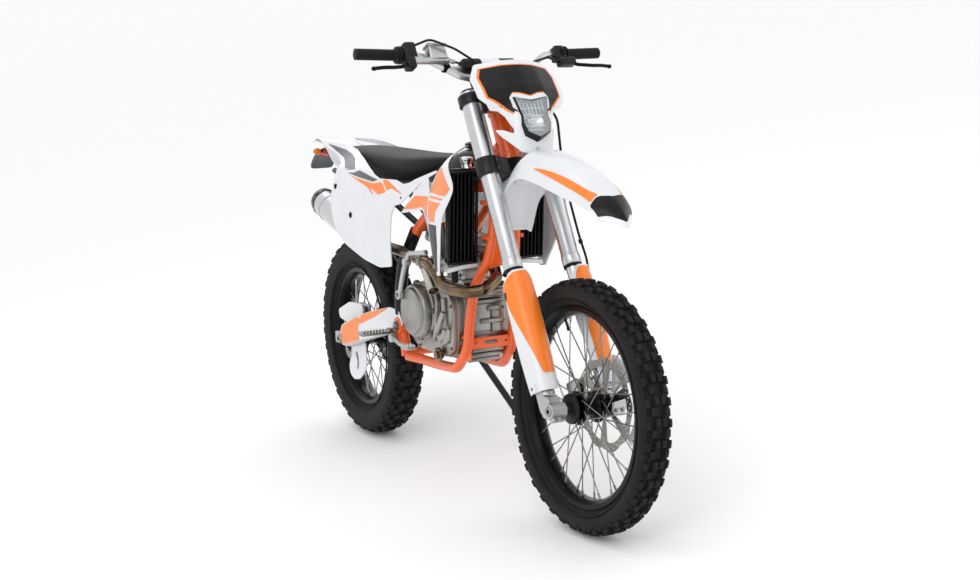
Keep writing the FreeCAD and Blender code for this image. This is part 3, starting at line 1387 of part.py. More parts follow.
steer_turn = STEERING_PLACE.Rotation
STAND_FOOT = CENTRED.multVec(STAND_SOLE)
print("PLACES " + json.dumps({
    "groups": {label: group for label, (group, _) in subparts.items()},
    "steering": {"pos_m": stated(STEER_BASE), "axis": direction(UP_AXIS)},
    "front_wheel": {"pos_m": stated(GROUP_PLACES["front_wheel"].Base), "axis": direction(steer_turn.multVec(X_AXIS))},
    "rear_wheel": {"pos_m": stated(REAR_AXLE), "axis": direction(X_AXIS)},
    "side_stand": {"pos_m": stated(STAND_PIVOT), "axis": direction(X_AXIS)},
    "rotation": [list(direction(a)) for a in (X_AXIS, Y_AXIS, Z_AXIS)],
    "origin": stated(V(0, 0, 0)),
    "size": [round(BOUNDS.XLength), round(BOUNDS.YLength), round(BOUNDS.ZLength)],
    "low": round(BOUNDS.ZMin, 3),
    "steer_angle": d.steer_angle,
    "stand_foot": [round(c / 1000, 6) for c in (STAND_FOOT.x, STAND_FOOT.y, 0)],
    "front_axle": {"r_mm": d.front_axle_bore, "length_mm": 2 * (d.leg_place + d.lug_radius + 2) - 6},
    "rear_axle": {"r_mm": d.rear_axle_bore, "length_mm": 248},
    "outlet": {"r_mm": d.outlet_radius, "length_mm": d.outlet_depth,
               "pos_m": stated(SILENCER_END - SILENCER_RUN * (d.outlet_depth / 2)),
               "axis": direction(SILENCER_RUN)},
}))
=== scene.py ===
import json
import math

import bpy
from mathutils import Matrix, Vector


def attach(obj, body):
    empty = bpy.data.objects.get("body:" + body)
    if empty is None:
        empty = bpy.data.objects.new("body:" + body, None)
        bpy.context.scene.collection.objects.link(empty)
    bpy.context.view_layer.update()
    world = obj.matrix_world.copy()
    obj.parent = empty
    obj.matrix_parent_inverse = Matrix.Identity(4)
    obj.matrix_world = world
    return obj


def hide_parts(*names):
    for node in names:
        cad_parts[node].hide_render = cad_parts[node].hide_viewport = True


bl_info = {"name": "Enduro Bike Dressing", "version": (1, 0, 0), "blender": (4, 5, 0),
    "location": "View3D > Sidebar > Enduro",
    "description": "Dresses the packed enduro bike with detailed pieces and finishes", "category": "Object"}

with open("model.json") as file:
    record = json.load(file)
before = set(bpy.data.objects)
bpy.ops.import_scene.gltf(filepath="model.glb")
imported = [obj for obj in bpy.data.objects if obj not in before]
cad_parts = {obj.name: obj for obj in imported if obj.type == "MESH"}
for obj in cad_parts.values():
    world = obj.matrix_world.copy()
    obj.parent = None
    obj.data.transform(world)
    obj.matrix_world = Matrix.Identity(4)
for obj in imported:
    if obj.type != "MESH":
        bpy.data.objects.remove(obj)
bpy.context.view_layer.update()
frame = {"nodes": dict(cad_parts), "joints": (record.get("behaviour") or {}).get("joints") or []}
JOINTS = {joint["name"]: joint for joint in frame["joints"]}

# The bike's own frames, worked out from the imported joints. Pieces are modelled in millimetres:
# BIKE is the upright bike, STEER the steered pieces with Z along the steering axis.
RAKE = math.radians(26.8)
AXLE_AHEAD = 55
FRONT_AXLE, REAR_AXLE = Vector((0, -740, 347)), Vector((0, 740, 338))
PIVOT = Vector((0, 232, 452))
CASE_MIDDLE = 500


def frame_matrix(origin, across, up):
    """A frame in millimetres from its origin and two of its axes, in metres."""
    x, z = Vector(across).normalized(), Vector(up).normalized()
    y = z.cross(x).normalized()
    turned_to = Matrix((x, y, z)).transposed().to_4x4()
    return Matrix.Translation(Vector(origin)) @ turned_to @ Matrix.Scale(0.001, 4)


ACROSS = Vector(JOINTS["rear_wheel_spin"]["axis"]).normalized()
STEER_UP = Vector(JOINTS["steering_turn"]["axis"]).normalized()
STEER_FORWARD = ACROSS.cross(STEER_UP)
BIKE_UP = STEER_UP * math.cos(RAKE) + STEER_FORWARD * math.sin(RAKE)
REAR_WHEEL = frame_matrix(JOINTS["rear_wheel_spin"]["pos_m"], ACROSS, BIKE_UP)
BIKE = REAR_WHEEL @ Matrix.Translation(-REAR_AXLE)
FRONT_ACROSS = Vector(JOINTS["front_wheel_spin"]["axis"]).normalized()
STEER = frame_matrix(JOINTS["steering_turn"]["pos_m"], FRONT_ACROSS, STEER_UP)
FRONT_WHEEL = STEER @ Matrix.Translation(Vector((0, -AXLE_AHEAD, 0)))

X, Y, Z = Vector((1, 0, 0)), Vector((0, 1, 0)), Vector((0, 0, 1))


# Modelling, as by hand
def object_mode():
    if bpy.context.mode != "OBJECT":
        bpy.ops.object.mode_set(mode="OBJECT")


def only(*objects):
    """Select these objects alone, the first of them active."""
    object_mode()
    bpy.ops.object.select_all(action="DESELECT")
    for obj in objects:
        obj.select_set(True)
    bpy.context.view_layer.objects.active = objects[0]


def edit(obj, select="SELECT"):
    """Open a mesh for editing, with all or none of it selected."""
    only(obj)
    bpy.ops.object.mode_set(mode="EDIT")
    bpy.ops.mesh.select_all(action=select)


def added(name, places=()):
    """The object just made, with a name and its points at their places."""
    obj = bpy.context.view_layer.objects.active
    obj.name = name
    for vertex, place in zip(obj.data.vertices if places else (), places):
        vertex.co = place
    return obj


def grid(name, rows):
    """A sheet through rows of points."""
    object_mode()
    bpy.ops.mesh.primitive_grid_add(x_subdivisions=len(rows[0]) - 1, y_subdivisions=len(rows) - 1, size=1)
    return added(name, [point for row in rows for point in row])


def face(name, outline, axis, at):
    """One flat face of any outline across an axis: 0 for (y, z), 1 for (x, z) and 2 for (x, y) outlines."""
    object_mode()
    bpy.ops.mesh.primitive_circle_add(vertices=len(outline), radius=1, fill_type="NGON")
    return added(name, [(*point[:axis], at, *point[axis:]) for point in outline])


def apply_place(obj):
    only(obj)
    bpy.ops.object.transform_apply(location=True, rotation=True, scale=True)
    return obj


def finish_with(obj, kind, **settings):
    """Add a modifier and apply it."""
    modifier = obj.modifiers.new(kind.title(), kind)
    for key, value in settings.items():
        setattr(modifier, key, value)
    only(obj)
    bpy.ops.object.modifier_apply(modifier=modifier.name)
    return obj


def rounded(obj, width, segments=2, angle=30):
    return finish_with(obj, "BEVEL", width=width, segments=segments, limit_method="ANGLE",
        angle_limit=math.radians(angle), harden_normals=False)


def smoothed(obj, levels=1):
    return finish_with(obj, "SUBSURF", levels=levels, render_levels=levels)


def facing_out(obj, threshold=0.001):
    """Merge the points that meet and turn every face outward."""
    edit(obj)
    bpy.ops.mesh.remove_doubles(threshold=threshold)
    bpy.ops.mesh.normals_make_consistent(inside=False)
    object_mode()
    return obj


def block(name, x, y, z, bevel=0.0, segments=2):
    """A box between two limits on each axis, its edges rounded."""
    object_mode()
    bpy.ops.mesh.primitive_cube_add(size=1, location=((x[0] + x[1]) / 2, (y[0] + y[1]) / 2, (z[0] + z[1]) / 2))
    obj = added(name)
    obj.scale = (x[1] - x[0], y[1] - y[0], z[1] - z[0])
    apply_place(obj)
    return rounded(obj, bevel, segments) if bevel else obj


def bar(name, start, end, radius, sides=24, end_radius=None, bevel=0.0):
    """A round bar or cone between two points."""
    start, end = Vector(start), Vector(end)
    run = end - start
    object_mode()
    bpy.ops.mesh.primitive_cone_add(vertices=sides, radius1=radius, radius2=radius if end_radius is None
        else end_radius, depth=run.length, location=(start + end) / 2,
        rotation=run.to_track_quat("Z", "Y").to_euler())
    obj = apply_place(added(name))
    return rounded(obj, bevel) if bevel else obj


def bolt(name, at, along, radius, height=5.0):
    """A hexagon head with a washer face."""
    at, along = Vector(at), Vector(along).normalized()
    head = bar(name, at - along * 0.5, at + along * height, radius, 6, radius * 0.94, 0.5)
    washer = bar(name + "_washer", at - along * 0.5, at + along * 1.2, radius * 1.35, 20)
    return joined(name, head, washer)


def pipe(name, points, radius, sides=16, order=3, ends=True):
    """A round tube along a smooth curve through its run of control points."""
    object_mode()
    bpy.ops.curve.primitive_nurbs_path_add(location=(0, 0, 0))
    obj = added(name)
    curve = obj.data
    curve.splines.clear()
    spline = curve.splines.new("NURBS")
    spline.points.add(len(points) - 1)
    for point, place in zip(spline.points, points):
        point.co = (*place, 1)
    spline.order_u = order
    spline.use_endpoint_u = True
    spline.resolution_u = 10
    curve.dimensions = "3D"
    curve.bevel_depth = radius
    curve.bevel_resolution = max(1, sides // 4 - 1)
    curve.use_fill_caps = ends
    only(obj)
    bpy.ops.object.convert(target="MESH")
    return facing_out(bpy.context.view_layer.objects.active)


def turned(name, profile, steps=48, closed=True):
    """A form spun about X from (along, radius) corners."""
    object_mode()
    bpy.ops.mesh.primitive_circle_add(vertices=len(profile), radius=1)
    obj = added(name, [(along, 0, radius) for along, radius in profile])
    if not closed:
        edit(obj, "DESELECT")
        object_mode()
        ends = {0, len(profile) - 1}
        for edge in obj.data.edges:
            edge.select = set(edge.vertices) == ends
        bpy.ops.object.mode_set(mode="EDIT")
        bpy.ops.mesh.delete(type="EDGE")
        object_mode()
    edit(obj)
    bpy.ops.mesh.spin(steps=steps, angle=2 * math.pi, center=(0, 0, 0), axis=(1, 0, 0), use_auto_merge=True)
    return facing_out(obj, 0.01)


def moulding(name, rows, thickness, inward=-1.0, levels=1):
    """A moulded wall laid over rows of measured points, smoothed and given its thickness."""
    obj = smoothed(grid(name, rows), levels)
    return finish_with(obj, "SOLIDIFY", thickness=thickness, offset=inward, use_even_offset=True)


def outline_plate(name, outline, axis, low, high, bevel=0.0):
    """A plate of any outline, raised along an axis from low to high."""
    obj = face(name, outline, axis, low)
    edit(obj)
    rise = [0, 0, 0]
    rise[axis] = high - low
    bpy.ops.mesh.extrude_region_move(TRANSFORM_OT_translate={"value": rise})
    bpy.ops.mesh.select_all(action="SELECT")
    bpy.ops.mesh.normals_make_consistent(inside=False)
    object_mode()
    return rounded(obj, bevel) if bevel else obj


def decal(name, panel, outline, axis, start, lift=0.35, cuts=7):
    """Thin film of one colour laid on a panel: an outline thrown onto it along an axis from a start."""
    obj = face(name, outline, axis, start)
    edit(obj)
    bpy.ops.mesh.quads_convert_to_tris(ngon_method="BEAUTY")
    bpy.ops.mesh.subdivide(number_cuts=cuts)
    object_mode()
    finish_with(obj, "SHRINKWRAP", target=panel, wrap_method="PROJECT", use_project_x=axis == 0,
        use_project_y=axis == 1, use_project_z=axis == 2, use_negative_direction=True, use_positive_direction=True,
        wrap_mode="ABOVE_SURFACE", offset=lift)
    return trimmed(obj, lambda place: abs(place[axis] - start) < 1)


def side_films(name, panel, films, corner=3, start=400, cuts=5):
    """Films thrown onto a left panel from outside it, each with its finish and its outline in (y, z)."""
    return [coloured(decal(name, panel, softened(outline, corner, 2), 0, start, 0.4, cuts), finish)
        for finish, outline in films]


def laid_film(name, panel, rows, strips, columns):
    """Thin film laid on a moulding between two shares of its width, along its own rows of points."""
    def at(row, share):
        i, column = min(int(row), len(rows) - 2), (share + 1) * (len(rows[0]) - 1) / 2
        j = min(int(column), len(rows[0]) - 2)
        near, far = (line[j].lerp(line[j + 1], column - j) for line in (rows[i], rows[i + 1]))
        return near.lerp(far, row - i)

    lines = []
    for row, low, high in strips:
        shares = [low + (high - low) * c / columns for c in range(columns + 1)]
        lines.append([at(row, share) + Vector((7 * share, -5, 6)) for share in shares])
    return finish_with(smoothed(grid(name, lines)), "SHRINKWRAP", target=panel, wrap_method="NEAREST_SURFACEPOINT",
        wrap_mode="ABOVE_SURFACE", offset=0.7)


def trimmed(obj, outside):
    """Remove the points of a mesh that a test on their place picks out."""
    edit(obj)
    bpy.ops.mesh.select_mode(type="VERT")
    bpy.ops.mesh.select_all(action="DESELECT")
    object_mode()
    for vertex in obj.data.vertices:
        vertex.select = outside(vertex.co)
    bpy.ops.object.mode_set(mode="EDIT")
    bpy.ops.mesh.delete(type="VERT")
    object_mode()
    return obj


def cut(obj, *cutters):
    """Boolean difference with each cutter, which is then removed."""
    for cutter in cutters:
        finish_with(obj, "BOOLEAN", operation="DIFFERENCE", object=cutter, solver="EXACT")
        dropped(cutter)
    return obj


def ringed(obj, count, about=X, turn=2 * math.pi):
    """Copies of a piece in a ring about an axis through the origin, as one mesh."""
    object_mode()
    bpy.ops.object.empty_add(location=(0, 0, 0))
    pole = added("ring_pole")
    pole.rotation_euler = Matrix.Rotation(turn / count, 3, about).to_euler()
    bpy.context.view_layer.update()
    finish_with(obj, "ARRAY", count=count, use_relative_offset=False, use_object_offset=True, offset_object=pole)
    dropped(pole)
    return obj


def copied(obj, name, move=Matrix.Identity(4)):
    twin = obj.copy()
    twin.data = obj.data.copy()
    twin.name = name
    bpy.context.scene.collection.objects.link(twin)
    twin.data.transform(move)
    return twin


def flipped(obj, name):
    """The piece of the other side of the bike."""
    twin = copied(obj, name, Matrix.Scale(-1, 4, X))
    edit(twin)
    bpy.ops.mesh.flip_normals()
    object_mode()
    return twin


def mirrored(outline):
    """The outline's other half, in the order that closes it."""
    return [(-across, second) for across, second in reversed(outline)]


def scaled(outline, across, up, middle):
    """An outline made wider or narrower about 0 and taller or lower about its middle."""
    return [(first * across, middle + (second - middle) * up) for first, second in outline]


def both_sides(name, *objects):
    twins = [flipped(obj, f"{obj.name}_other") for obj in objects]
    return joined(name, *objects, *twins)


def joined(name, *objects):
    if len(objects) > 1:
        only(*objects)
        bpy.ops.object.join()
    objects[0].name = name
    return objects[0]


def coloured(obj, finish):
    obj.data.materials.clear()
    obj.data.materials.append(FINISH[finish])
    return obj


def coat(finish, name, *objects):
    """Several objects as one, in one finish."""
    return coloured(joined(name, *objects), finish)


def moved(obj, at, degrees=0, axis="Z"):
    """The object, turned about an axis through its origin and then put at a place."""
    obj.data.transform(Matrix.Translation(Vector(at)) @ Matrix.Rotation(math.radians(degrees), 4, axis))
    return obj


def dropped(*objects):
    for obj in objects:
        bpy.data.objects.remove(obj)


def settle(obj, place, body, slot, *nodes, finish=None, smooth=35):
    """Put a finished piece in the row's frame, on its body, in place of its CAD nodes."""
    apply_place(obj)
    obj.data.transform(place)
    if finish:
        coloured(obj, finish)
    only(obj)
    bpy.ops.object.shade_smooth_by_angle(angle=math.radians(smooth))
    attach(obj, body)
    if nodes:
        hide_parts(*nodes)
    return obj


def on_bike(obj, slot, *nodes, **looks):
    """Settle a piece of the upright bike on the chassis."""
    return settle(obj, BIKE, "chassis", slot, *nodes, **looks)


def on_fork(obj, slot, *nodes, **looks):
    """Settle a steered piece on the steering."""
    return settle(obj, STEER, "steering", slot, *nodes, **looks)


# Finishes
def linear(code):
    """A linear colour from an sRGB hex value."""
    channels = [int(code[i:i + 2], 16) / 255 for i in (1, 3, 5)]
    return tuple(c / 12.92 if c <= 0.04045 else ((c + 0.055) / 1.055) ** 2.4 for c in channels) + (1.0,)


def put(tree, kind, links=None, values=None, **settings):
    """Add a node with its settings, values and links."""
    made = tree.nodes.new(kind)
    for key, value in settings.items():
        setattr(made, key, value)
    for socket, value in (values or {}).items():
        made.inputs[socket].default_value = value
    for socket, source in (links or {}).items():
        tree.links.new(source, made.inputs[socket])
    return made


def new_finish(name):
    material = bpy.data.materials.new(name)
    material.use_nodes = True
    tree = material.node_tree
    shader = tree.nodes["Principled BSDF"]
    place = put(tree, "ShaderNodeTexCoord").outputs["Object"]
    return material, tree, shader, place


def drifting(tree, shader, place, colours, noise, start, most):
    """A base colour that drifts slowly from the first colour towards the second."""
    slow = put(tree, "ShaderNodeTexNoise", {"Vector": place}, {"Scale": noise[0], "Detail": noise[1]})
    drift = put(tree, "ShaderNodeMapRange", {"Value": slow.outputs["Fac"]}, {"From Min": start, "From Max": 1 - start,
        "To Min": 0.0, "To Max": most})
    tint = put(tree, "ShaderNodeMix", {"Factor": drift.outputs["Result"]}, data_type="RGBA")
    for socket, colour in zip("AB", colours):
        tint.inputs[socket].default_value = linear(colour)
    tree.links.new(tint.outputs["Result"], shader.inputs["Base Color"])


def bumped(tree, shader, height, strength, distance):
    relief = put(tree, "ShaderNodeBump", {"Height": height}, {"Strength": strength, "Distance": distance})
    tree.links.new(relief.outputs["Normal"], shader.inputs["Normal"])


def grained(name, colour, second, roughness, grain_mm, bump, metallic=0.0, spread=0.5, coat=0.0, rough_spread=0.1,
        sheen=0.0, specular=0.5):
    """A finish with fine grain, a slow drift of colour and a roughness that varies."""
    material, tree, shader, place = new_finish(name)
    fine = put(tree, "ShaderNodeTexNoise", {"Vector": place}, {"Scale": 1000 / grain_mm, "Detail": 6.0,
        "Roughness": 0.6})
    drifting(tree, shader, place, (colour, second), (9.0, 3.0), 0.35, spread)
    polish = put(tree, "ShaderNodeMapRange", {"Value": fine.outputs["Fac"]}, {"From Min": 0.3, "From Max": 0.7,
        "To Min": roughness - rough_spread / 2, "To Max": roughness + rough_spread / 2})
    tree.links.new(polish.outputs["Result"], shader.inputs["Roughness"])
    bumped(tree, shader, fine.outputs["Fac"], bump, 0.0004)
    shader.inputs["Metallic"].default_value = metallic
    shader.inputs["Coat Weight"].default_value = coat
    shader.inputs["Coat Roughness"].default_value = 0.06
    shader.inputs["Sheen Weight"].default_value = sheen
    shader.inputs["Specular IOR Level"].default_value = specular
    return material


def brushed(name, colour, second, roughness, stretch, bump, hue_drift=0.5):
    """Metal with fine lines drawn along one axis of the row's frame."""
    material, tree, shader, place = new_finish(name)
    drawn = put(tree, "ShaderNodeMapping", {"Vector": place}, {"Scale": stretch})
    lines = put(tree, "ShaderNodeTexNoise", {"Vector": drawn.outputs["Vector"]}, {"Scale": 60.0, "Detail": 5.0})
    drifting(tree, shader, place, (colour, second), (14.0, 4.0), 0.3, hue_drift)
    polish = put(tree, "ShaderNodeMapRange", {"Value": lines.outputs["Fac"]}, {"To Min": roughness - 0.08,
        "To Max": roughness + 0.08})
    tree.links.new(polish.outputs["Result"], shader.inputs["Roughness"])
    bumped(tree, shader, lines.outputs["Fac"], bump, 0.0002)
    shader.inputs["Metallic"].default_value = 1.0
    return material


def clear(name, colour, roughness, seen):
    """Moulded lens plastic, see-through where its share seen is low, with a slight haze from the mould."""
    material, tree, shader, place = new_finish(name)
    haze = put(tree, "ShaderNodeTexNoise", {"Vector": place}, {"Scale": 120.0, "Detail": 3.0})
    polish = put(tree, "ShaderNodeMapRange", {"Value": haze.outputs["Fac"]}, {"To Min": max(0.0, roughness - 0.02),
        "To Max": roughness + 0.04})
    tree.links.new(polish.outputs["Result"], shader.inputs["Roughness"])
    shader.inputs["Base Color"].default_value = linear(colour)
    shader.inputs["Alpha"].default_value = seen
    return material


def make_finishes():
    colours = bpy.context.scene.enduro_colours
    white, orange = colours.plastic_white, colours.frame_orange
    return {
        # Moulded polypropylene, glossy with a faint ripple from the mould
        "white": grained("white_moulded_plastic", white, "#e6e8eb", 0.24, 4.0, 0.03, coat=0.25),
        "orange_film": grained("orange_vinyl_film", "#f57c1e", "#f88a2e", 0.3, 3.0, 0.02, coat=0.1),
        "black_film": grained("black_vinyl_film", "#08080a", "#0c0c0e", 0.3, 3.0, 0.02, specular=0.25),
        "grey_film": grained("grey_vinyl_film", "#4e5156", "#5c5f64", 0.3, 3.0, 0.02, specular=0.3),
        "pale_film": grained("pale_grey_vinyl_film", "#b9bcc2", "#c6c9ce", 0.3, 3.0, 0.02, coat=0.2),
        # Powder coat on steel tube: gloss with a fine orange peel
        "orange": grained("orange_powder_coat", orange, "#f06a22", 0.26, 1.6, 0.12, coat=0.35),
        "black_coat": grained("black_powder_coat", "#0b0b0c", "#141415", 0.34, 1.2, 0.2, specular=0.35),
        # Natural rubber with moulding grain, dusty on its faces
        "tyre": grained("tyre_rubber", "#151515", "#201f1e", 0.7, 1.4, 0.5, spread=0.8, specular=0.22),
        "rubber": grained("black_rubber", "#0d0d0e", "#151516", 0.55, 1.0, 0.35, specular=0.25),
        "black_plastic": grained("black_textured_plastic", "#0c0c0d", "#141416", 0.42, 0.8, 0.3, specular=0.3),
        # Textured vinyl over foam
        "seat": grained("seat_vinyl", "#0f1012", "#18191b", 0.55, 1.1, 0.55, specular=0.22),
        # Cast and shot-blasted aluminium
        "cast": grained("cast_aluminium", "#c4c5c4", "#acadad", 0.36, 0.9, 0.4, metallic=1.0),
        "engine": grained("engine_cast_aluminium", "#a8a7a3", "#86847f", 0.34, 0.9, 0.5, metallic=1.0, spread=0.8),
        "silver": brushed("satin_anodised_aluminium", "#cfd1d3", "#c2c4c7", 0.3, (1.0, 1.0, 18.0), 0.05),
        "steel": brushed("drawn_steel", "#9c9a96", "#7f7d79", 0.28, (1.0, 14.0, 14.0), 0.08),
        "chrome": brushed("plated_steel", "#dcdedf", "#cfd1d2", 0.14, (3.0, 3.0, 3.0), 0.02),
        "black_metal": grained("black_anodised_aluminium", "#101113", "#191a1c", 0.32, 0.7, 0.15, metallic=0.85),
        "bronze": brushed("heat_tinted_steel", "#857055", "#4c4033", 0.2, (6.0, 6.0, 6.0), 0.05, 1.0),
        "stainless": brushed("stainless_steel", "#c9c6bf", "#aaa69d", 0.22, (6.0, 6.0, 6.0), 0.05, 1.0),
        "chain": grained("oiled_chain_steel", "#5d5a52", "#77736a", 0.38, 0.8, 0.2, metallic=1.0),
        "spring": grained("painted_spring", "#e2e3e4", "#d5d6d8", 0.3, 1.5, 0.05, coat=0.2),
        "glass": clear("clear_polycarbonate", "#dfe6ec", 0.05, 0.22),
        "red_lens": clear("red_polycarbonate", "#b3130c", 0.12, 0.92),
        "amber_lens": clear("amber_polycarbonate", "#e8730a", 0.12, 0.92),
    }


FINISH = {}


def hex_colour(default, label, note):
    """A colour's setting in the panel."""
    return bpy.props.StringProperty(name=label, description=note, default=default)


class EnduroColours(bpy.types.PropertyGroup):
    """Colours of the bodywork and frame"""
    plastic_white: hex_colour("#dcdee2", "Bodywork", "Colour of the moulded plastics, as a hex value")
    frame_orange: hex_colour("#ec5b1c", "Frame", "Colour of the frame and its films, as a hex value")
    floor_pale: hex_colour("#ffffff", "Floor", "Colour of the floor, as a hex value")


class EnduroWheelSizes(bpy.types.PropertyGroup):
    """Sizes of both wheels' details"""
    spoke_thickness: bpy.props.FloatProperty(name="Spoke thickness", description="Diameter of a spoke in millimetres",
        default=3.6, min=2.0, max=6.0)
    knob_height: bpy.props.FloatProperty(name="Knob height", description="Height of the tyre knobs in millimetres",
        default=13.0, min=6.0, max=18.0)
    spokes_per_wheel: bpy.props.IntProperty(name="Spokes", description="Spokes in each wheel", default=36, min=12,
        max=48)


class ENDURO_OT_wheels(bpy.types.Operator):
    """Knobby tyres, rims, hubs, spokes and brake discs of both wheels"""
    bl_idname = "enduro.wheels"
    bl_label = "Wheels"

    def execute(self, context):
        sizes = context.scene.enduro_wheels
        for wheel in (FRONT_SIZES, REAR_SIZES):
            tyre_piece(wheel, sizes.knob_height)
            rim_piece(wheel)
            hub_piece(wheel, sizes.spoke_thickness / 2, sizes.spokes_per_wheel)
            disc_piece(wheel)
        sprocket_piece()
        return {"FINISHED"}


# Sizes of each wheel in millimetres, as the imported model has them
FRONT_SIZES = {"name": "front", "body": "front_wheel", "frame": FRONT_WHEEL, "radius": 347, "half": 45.5, "rim": 275,
    "rim_half": 27, "pitches": 38, "hub_half": 58, "hub_radius": 22, "left_end": 61, "flange": 46, "place": 30,
    "bore": 10.6, "disc": 130, "disc_at": 59.3, "disc_hole": 22.1}
REAR_SIZES = {"name": "rear", "body": "rear_wheel", "frame": REAR_WHEEL, "radius": 338, "half": 59, "rim": 238,
    "rim_half": 35, "pitches": 34, "hub_half": 62, "hub_radius": 28, "left_end": 78, "flange": 56, "place": 34,
    "bore": 12.6, "disc": 110, "disc_at": -60.3, "disc_hole": 28.1}


def knob(name, across, around, width, length, top, tilt, height):
    """One tapered rubber block that stands on the tread, at a place across and around it."""
    object_mode()
    bpy.ops.mesh.primitive_cube_add(size=1)
    obj = added(name)
    # The block's root is sunk into the carcass, and its top is smaller than its foot
    root = 4
    obj.scale = (width, length, height + root)
    apply_place(obj)
    for vertex in obj.data.vertices:
        if vertex.co.z > 0:
            vertex.co.x *= 0.84
            vertex.co.y *= 0.82
    rounded(obj, 1.1, 1)
    obj.data.transform(Matrix.Translation(Vector((0, 0, -(height + root) / 2))))
    obj.data.transform(Matrix.Rotation(tilt, 4, "Y"))
    moved(obj, (across, 0, top))
    obj.data.transform(Matrix.Rotation(around, 4, "X"))
    return obj


def tyre_piece(wheel, knob_height):
    radius, half, rim = wheel["radius"], wheel["half"], wheel["rim"]
    seat, carcass = rim - 10, radius - knob_height
    inner_half = wheel["rim_half"] - 4.2
    profile = [(-inner_half, seat + 0.3), (-inner_half - 0.4, rim + 2), (-inner_half - 4, rim + 6),
        (-half * 0.84, rim + 18), (-half * 0.93, carcass - 34), (-half * 0.93, carcass - 18),
        (-half * 0.8, carcass - 7), (-half * 0.45, carcass - 0.6), (0, carcass)]
    outer = profile + mirrored(profile[:-1])
    inner = [(inner_half - 7, seat + 0.3), (half * 0.8, carcass - 30), (0, carcass - 14), (-half * 0.8, carcass - 30),
        (-inner_half + 7, seat + 0.3)]
    carcass_ring = turned(f"{wheel['name']}_carcass", outer + inner, 120)
    pitch = 2 * math.pi / wheel["pitches"]
    length = pitch * radius
    # Each block's place across and around, its width and length, how far below the tread's top, its tilt and height
    knobs = [knob("tread_knob", -half * across, around * pitch, half * width, length * long, radius - below, tilt,
        knob_height * high) for across, around, width, long, below, tilt, high in ((0.21, 0, 0.36, 0.44, 0.4, 0.0, 1),
        (0.47, 0.5, 0.33, 0.42, 2.6, -0.25, 1), (0.78, 0.12, 0.3, 0.44, 9.5, -0.62, 1),
        (0.86, 0.62, 0.24, 0.4, 19, -1.0, 0.9))]
    side = joined("tread", *knobs)
    tread = joined("tread", side, flipped(side, "tread_other"))
    ringed(tread, wheel["pitches"])
    bead_ribs = []
    for sign in (-1, 1):
        rib = turned("bead_rib", [(sign * (half * 0.86), rim + 12), (sign * (half * 0.9 + 1.2), rim + 14),
            (sign * (half * 0.94), rim + 16), (sign * (half * 0.85), rim + 17)], 96)
        bead_ribs.append(rib)
    whole = joined(f"{wheel['name']}_knobby_tyre", carcass_ring, tread, *bead_ribs)
    settle(whole, wheel["frame"], wheel["body"], "tyre_rubber", f"{wheel['name']}_tyre", finish="tyre")


def rim_piece(wheel):
    half, flange = wheel["rim_half"], wheel["rim"]
    seat = flange - 10
    outer = [(half, flange - 1), (half, flange - 10), (half - 1.2, seat - 5), (half - 7, seat - 9),
        (half - 14, seat - 15), (half - 20, seat - 16)]
    inner = [(half - 19, seat - 12), (half - 14, seat - 10), (half - 6, seat - 1), (half - 4, seat),
        (half - 3.6, flange), (half - 1.5, flange + 0.6)]
    profile = outer + mirrored(outer) + mirrored(inner) + inner
    ring = turned(f"{wheel['name']}_rim_ring", profile, 120)
    valve = bar("valve", (4, 0, seat - 12), (6, 0, seat - 42), 3.4, 12)
    cap = bar("valve_cap", (6, 0, seat - 38), (6.4, 0, seat - 48), 4.4, 12, bevel=0.8)
    whole = joined(f"{wheel['name']}_anodised_rim", ring, valve, cap)
    settle(whole, wheel["frame"], wheel["body"], "black_rim", f"{wheel['name']}_rim", finish="black_metal")


def hub_piece(wheel, spoke_radius, count):
    half, radius, flange, place = (wheel[key] for key in ("hub_half", "hub_radius", "flange", "place"))
    bore, left = wheel["bore"], wheel["left_end"]
    seat = wheel["rim"] - 10
    rim = [(place + out, reach) for out, reach in ((-14, radius + 4), (-5, flange - 13), (-3.5, flange - 2),
        (-1.5, flange), (1.5, flange), (3.5, flange - 2), (5, flange - 14), (9, radius + 1))]
    outer = [(-half, bore), (-half, radius), *mirrored(rim), (0, radius + 1), *rim, (left, radius), (left, bore)]
    shell = coloured(turned(f"{wheel['name']}_hub_shell", outer, 64), "black_metal")
    spokes = []
    groups = count // 4
    for side in (-1, 1):
        for lacing in (-1, 1):
            angle = math.pi * 2 / count * ((0 if side < 0 else 1) + (0 if lacing > 0 else 2))
            hub_angle = angle + lacing * math.radians(52)
            hold, reach = flange - 7, seat - 16.5
            foot = Vector((side * place + lacing * 3.4, hold * math.cos(hub_angle), hold * math.sin(hub_angle)))
            head = Vector((side * 5, reach * math.cos(angle), reach * math.sin(angle)))
            run = (head - foot).normalized()
            spoke = bar("spoke", foot, head, spoke_radius, 8)
            nipple = bar("nipple", head - run * 17, head + run * 2, 3.2, 8, 3.6)
            elbow = bar("elbow", foot - X * lacing * 6, foot + X * lacing * 3, spoke_radius * 1.15, 8)
            spokes.append(ringed(joined("laced_spokes", spoke, nipple, elbow), groups))
    laced = coat("steel", "laced_spokes", *spokes)
    if wheel["name"] == "front":
        cover = turned("hub_cover", [(-half - 1, bore + 2), (-half - 1, 30), (-half + 2, 40), (-half + 8, 42),
            (-half + 11, 38), (-half + 11, bore + 2)], 64)
        shell = joined("front_hub_shell", shell, coloured(cover, "black_plastic"))
    whole = joined(f"{wheel['name']}_spoked_hub", shell, laced)
    settle(whole, wheel["frame"], wheel["body"], "hub_metal", f"{wheel['name']}_hub")


def polar(reach, angle):
    return reach * math.cos(angle), reach * math.sin(angle)


def hexagon(reach):
    return [polar(reach, i * math.pi / 3) for i in range(6)]


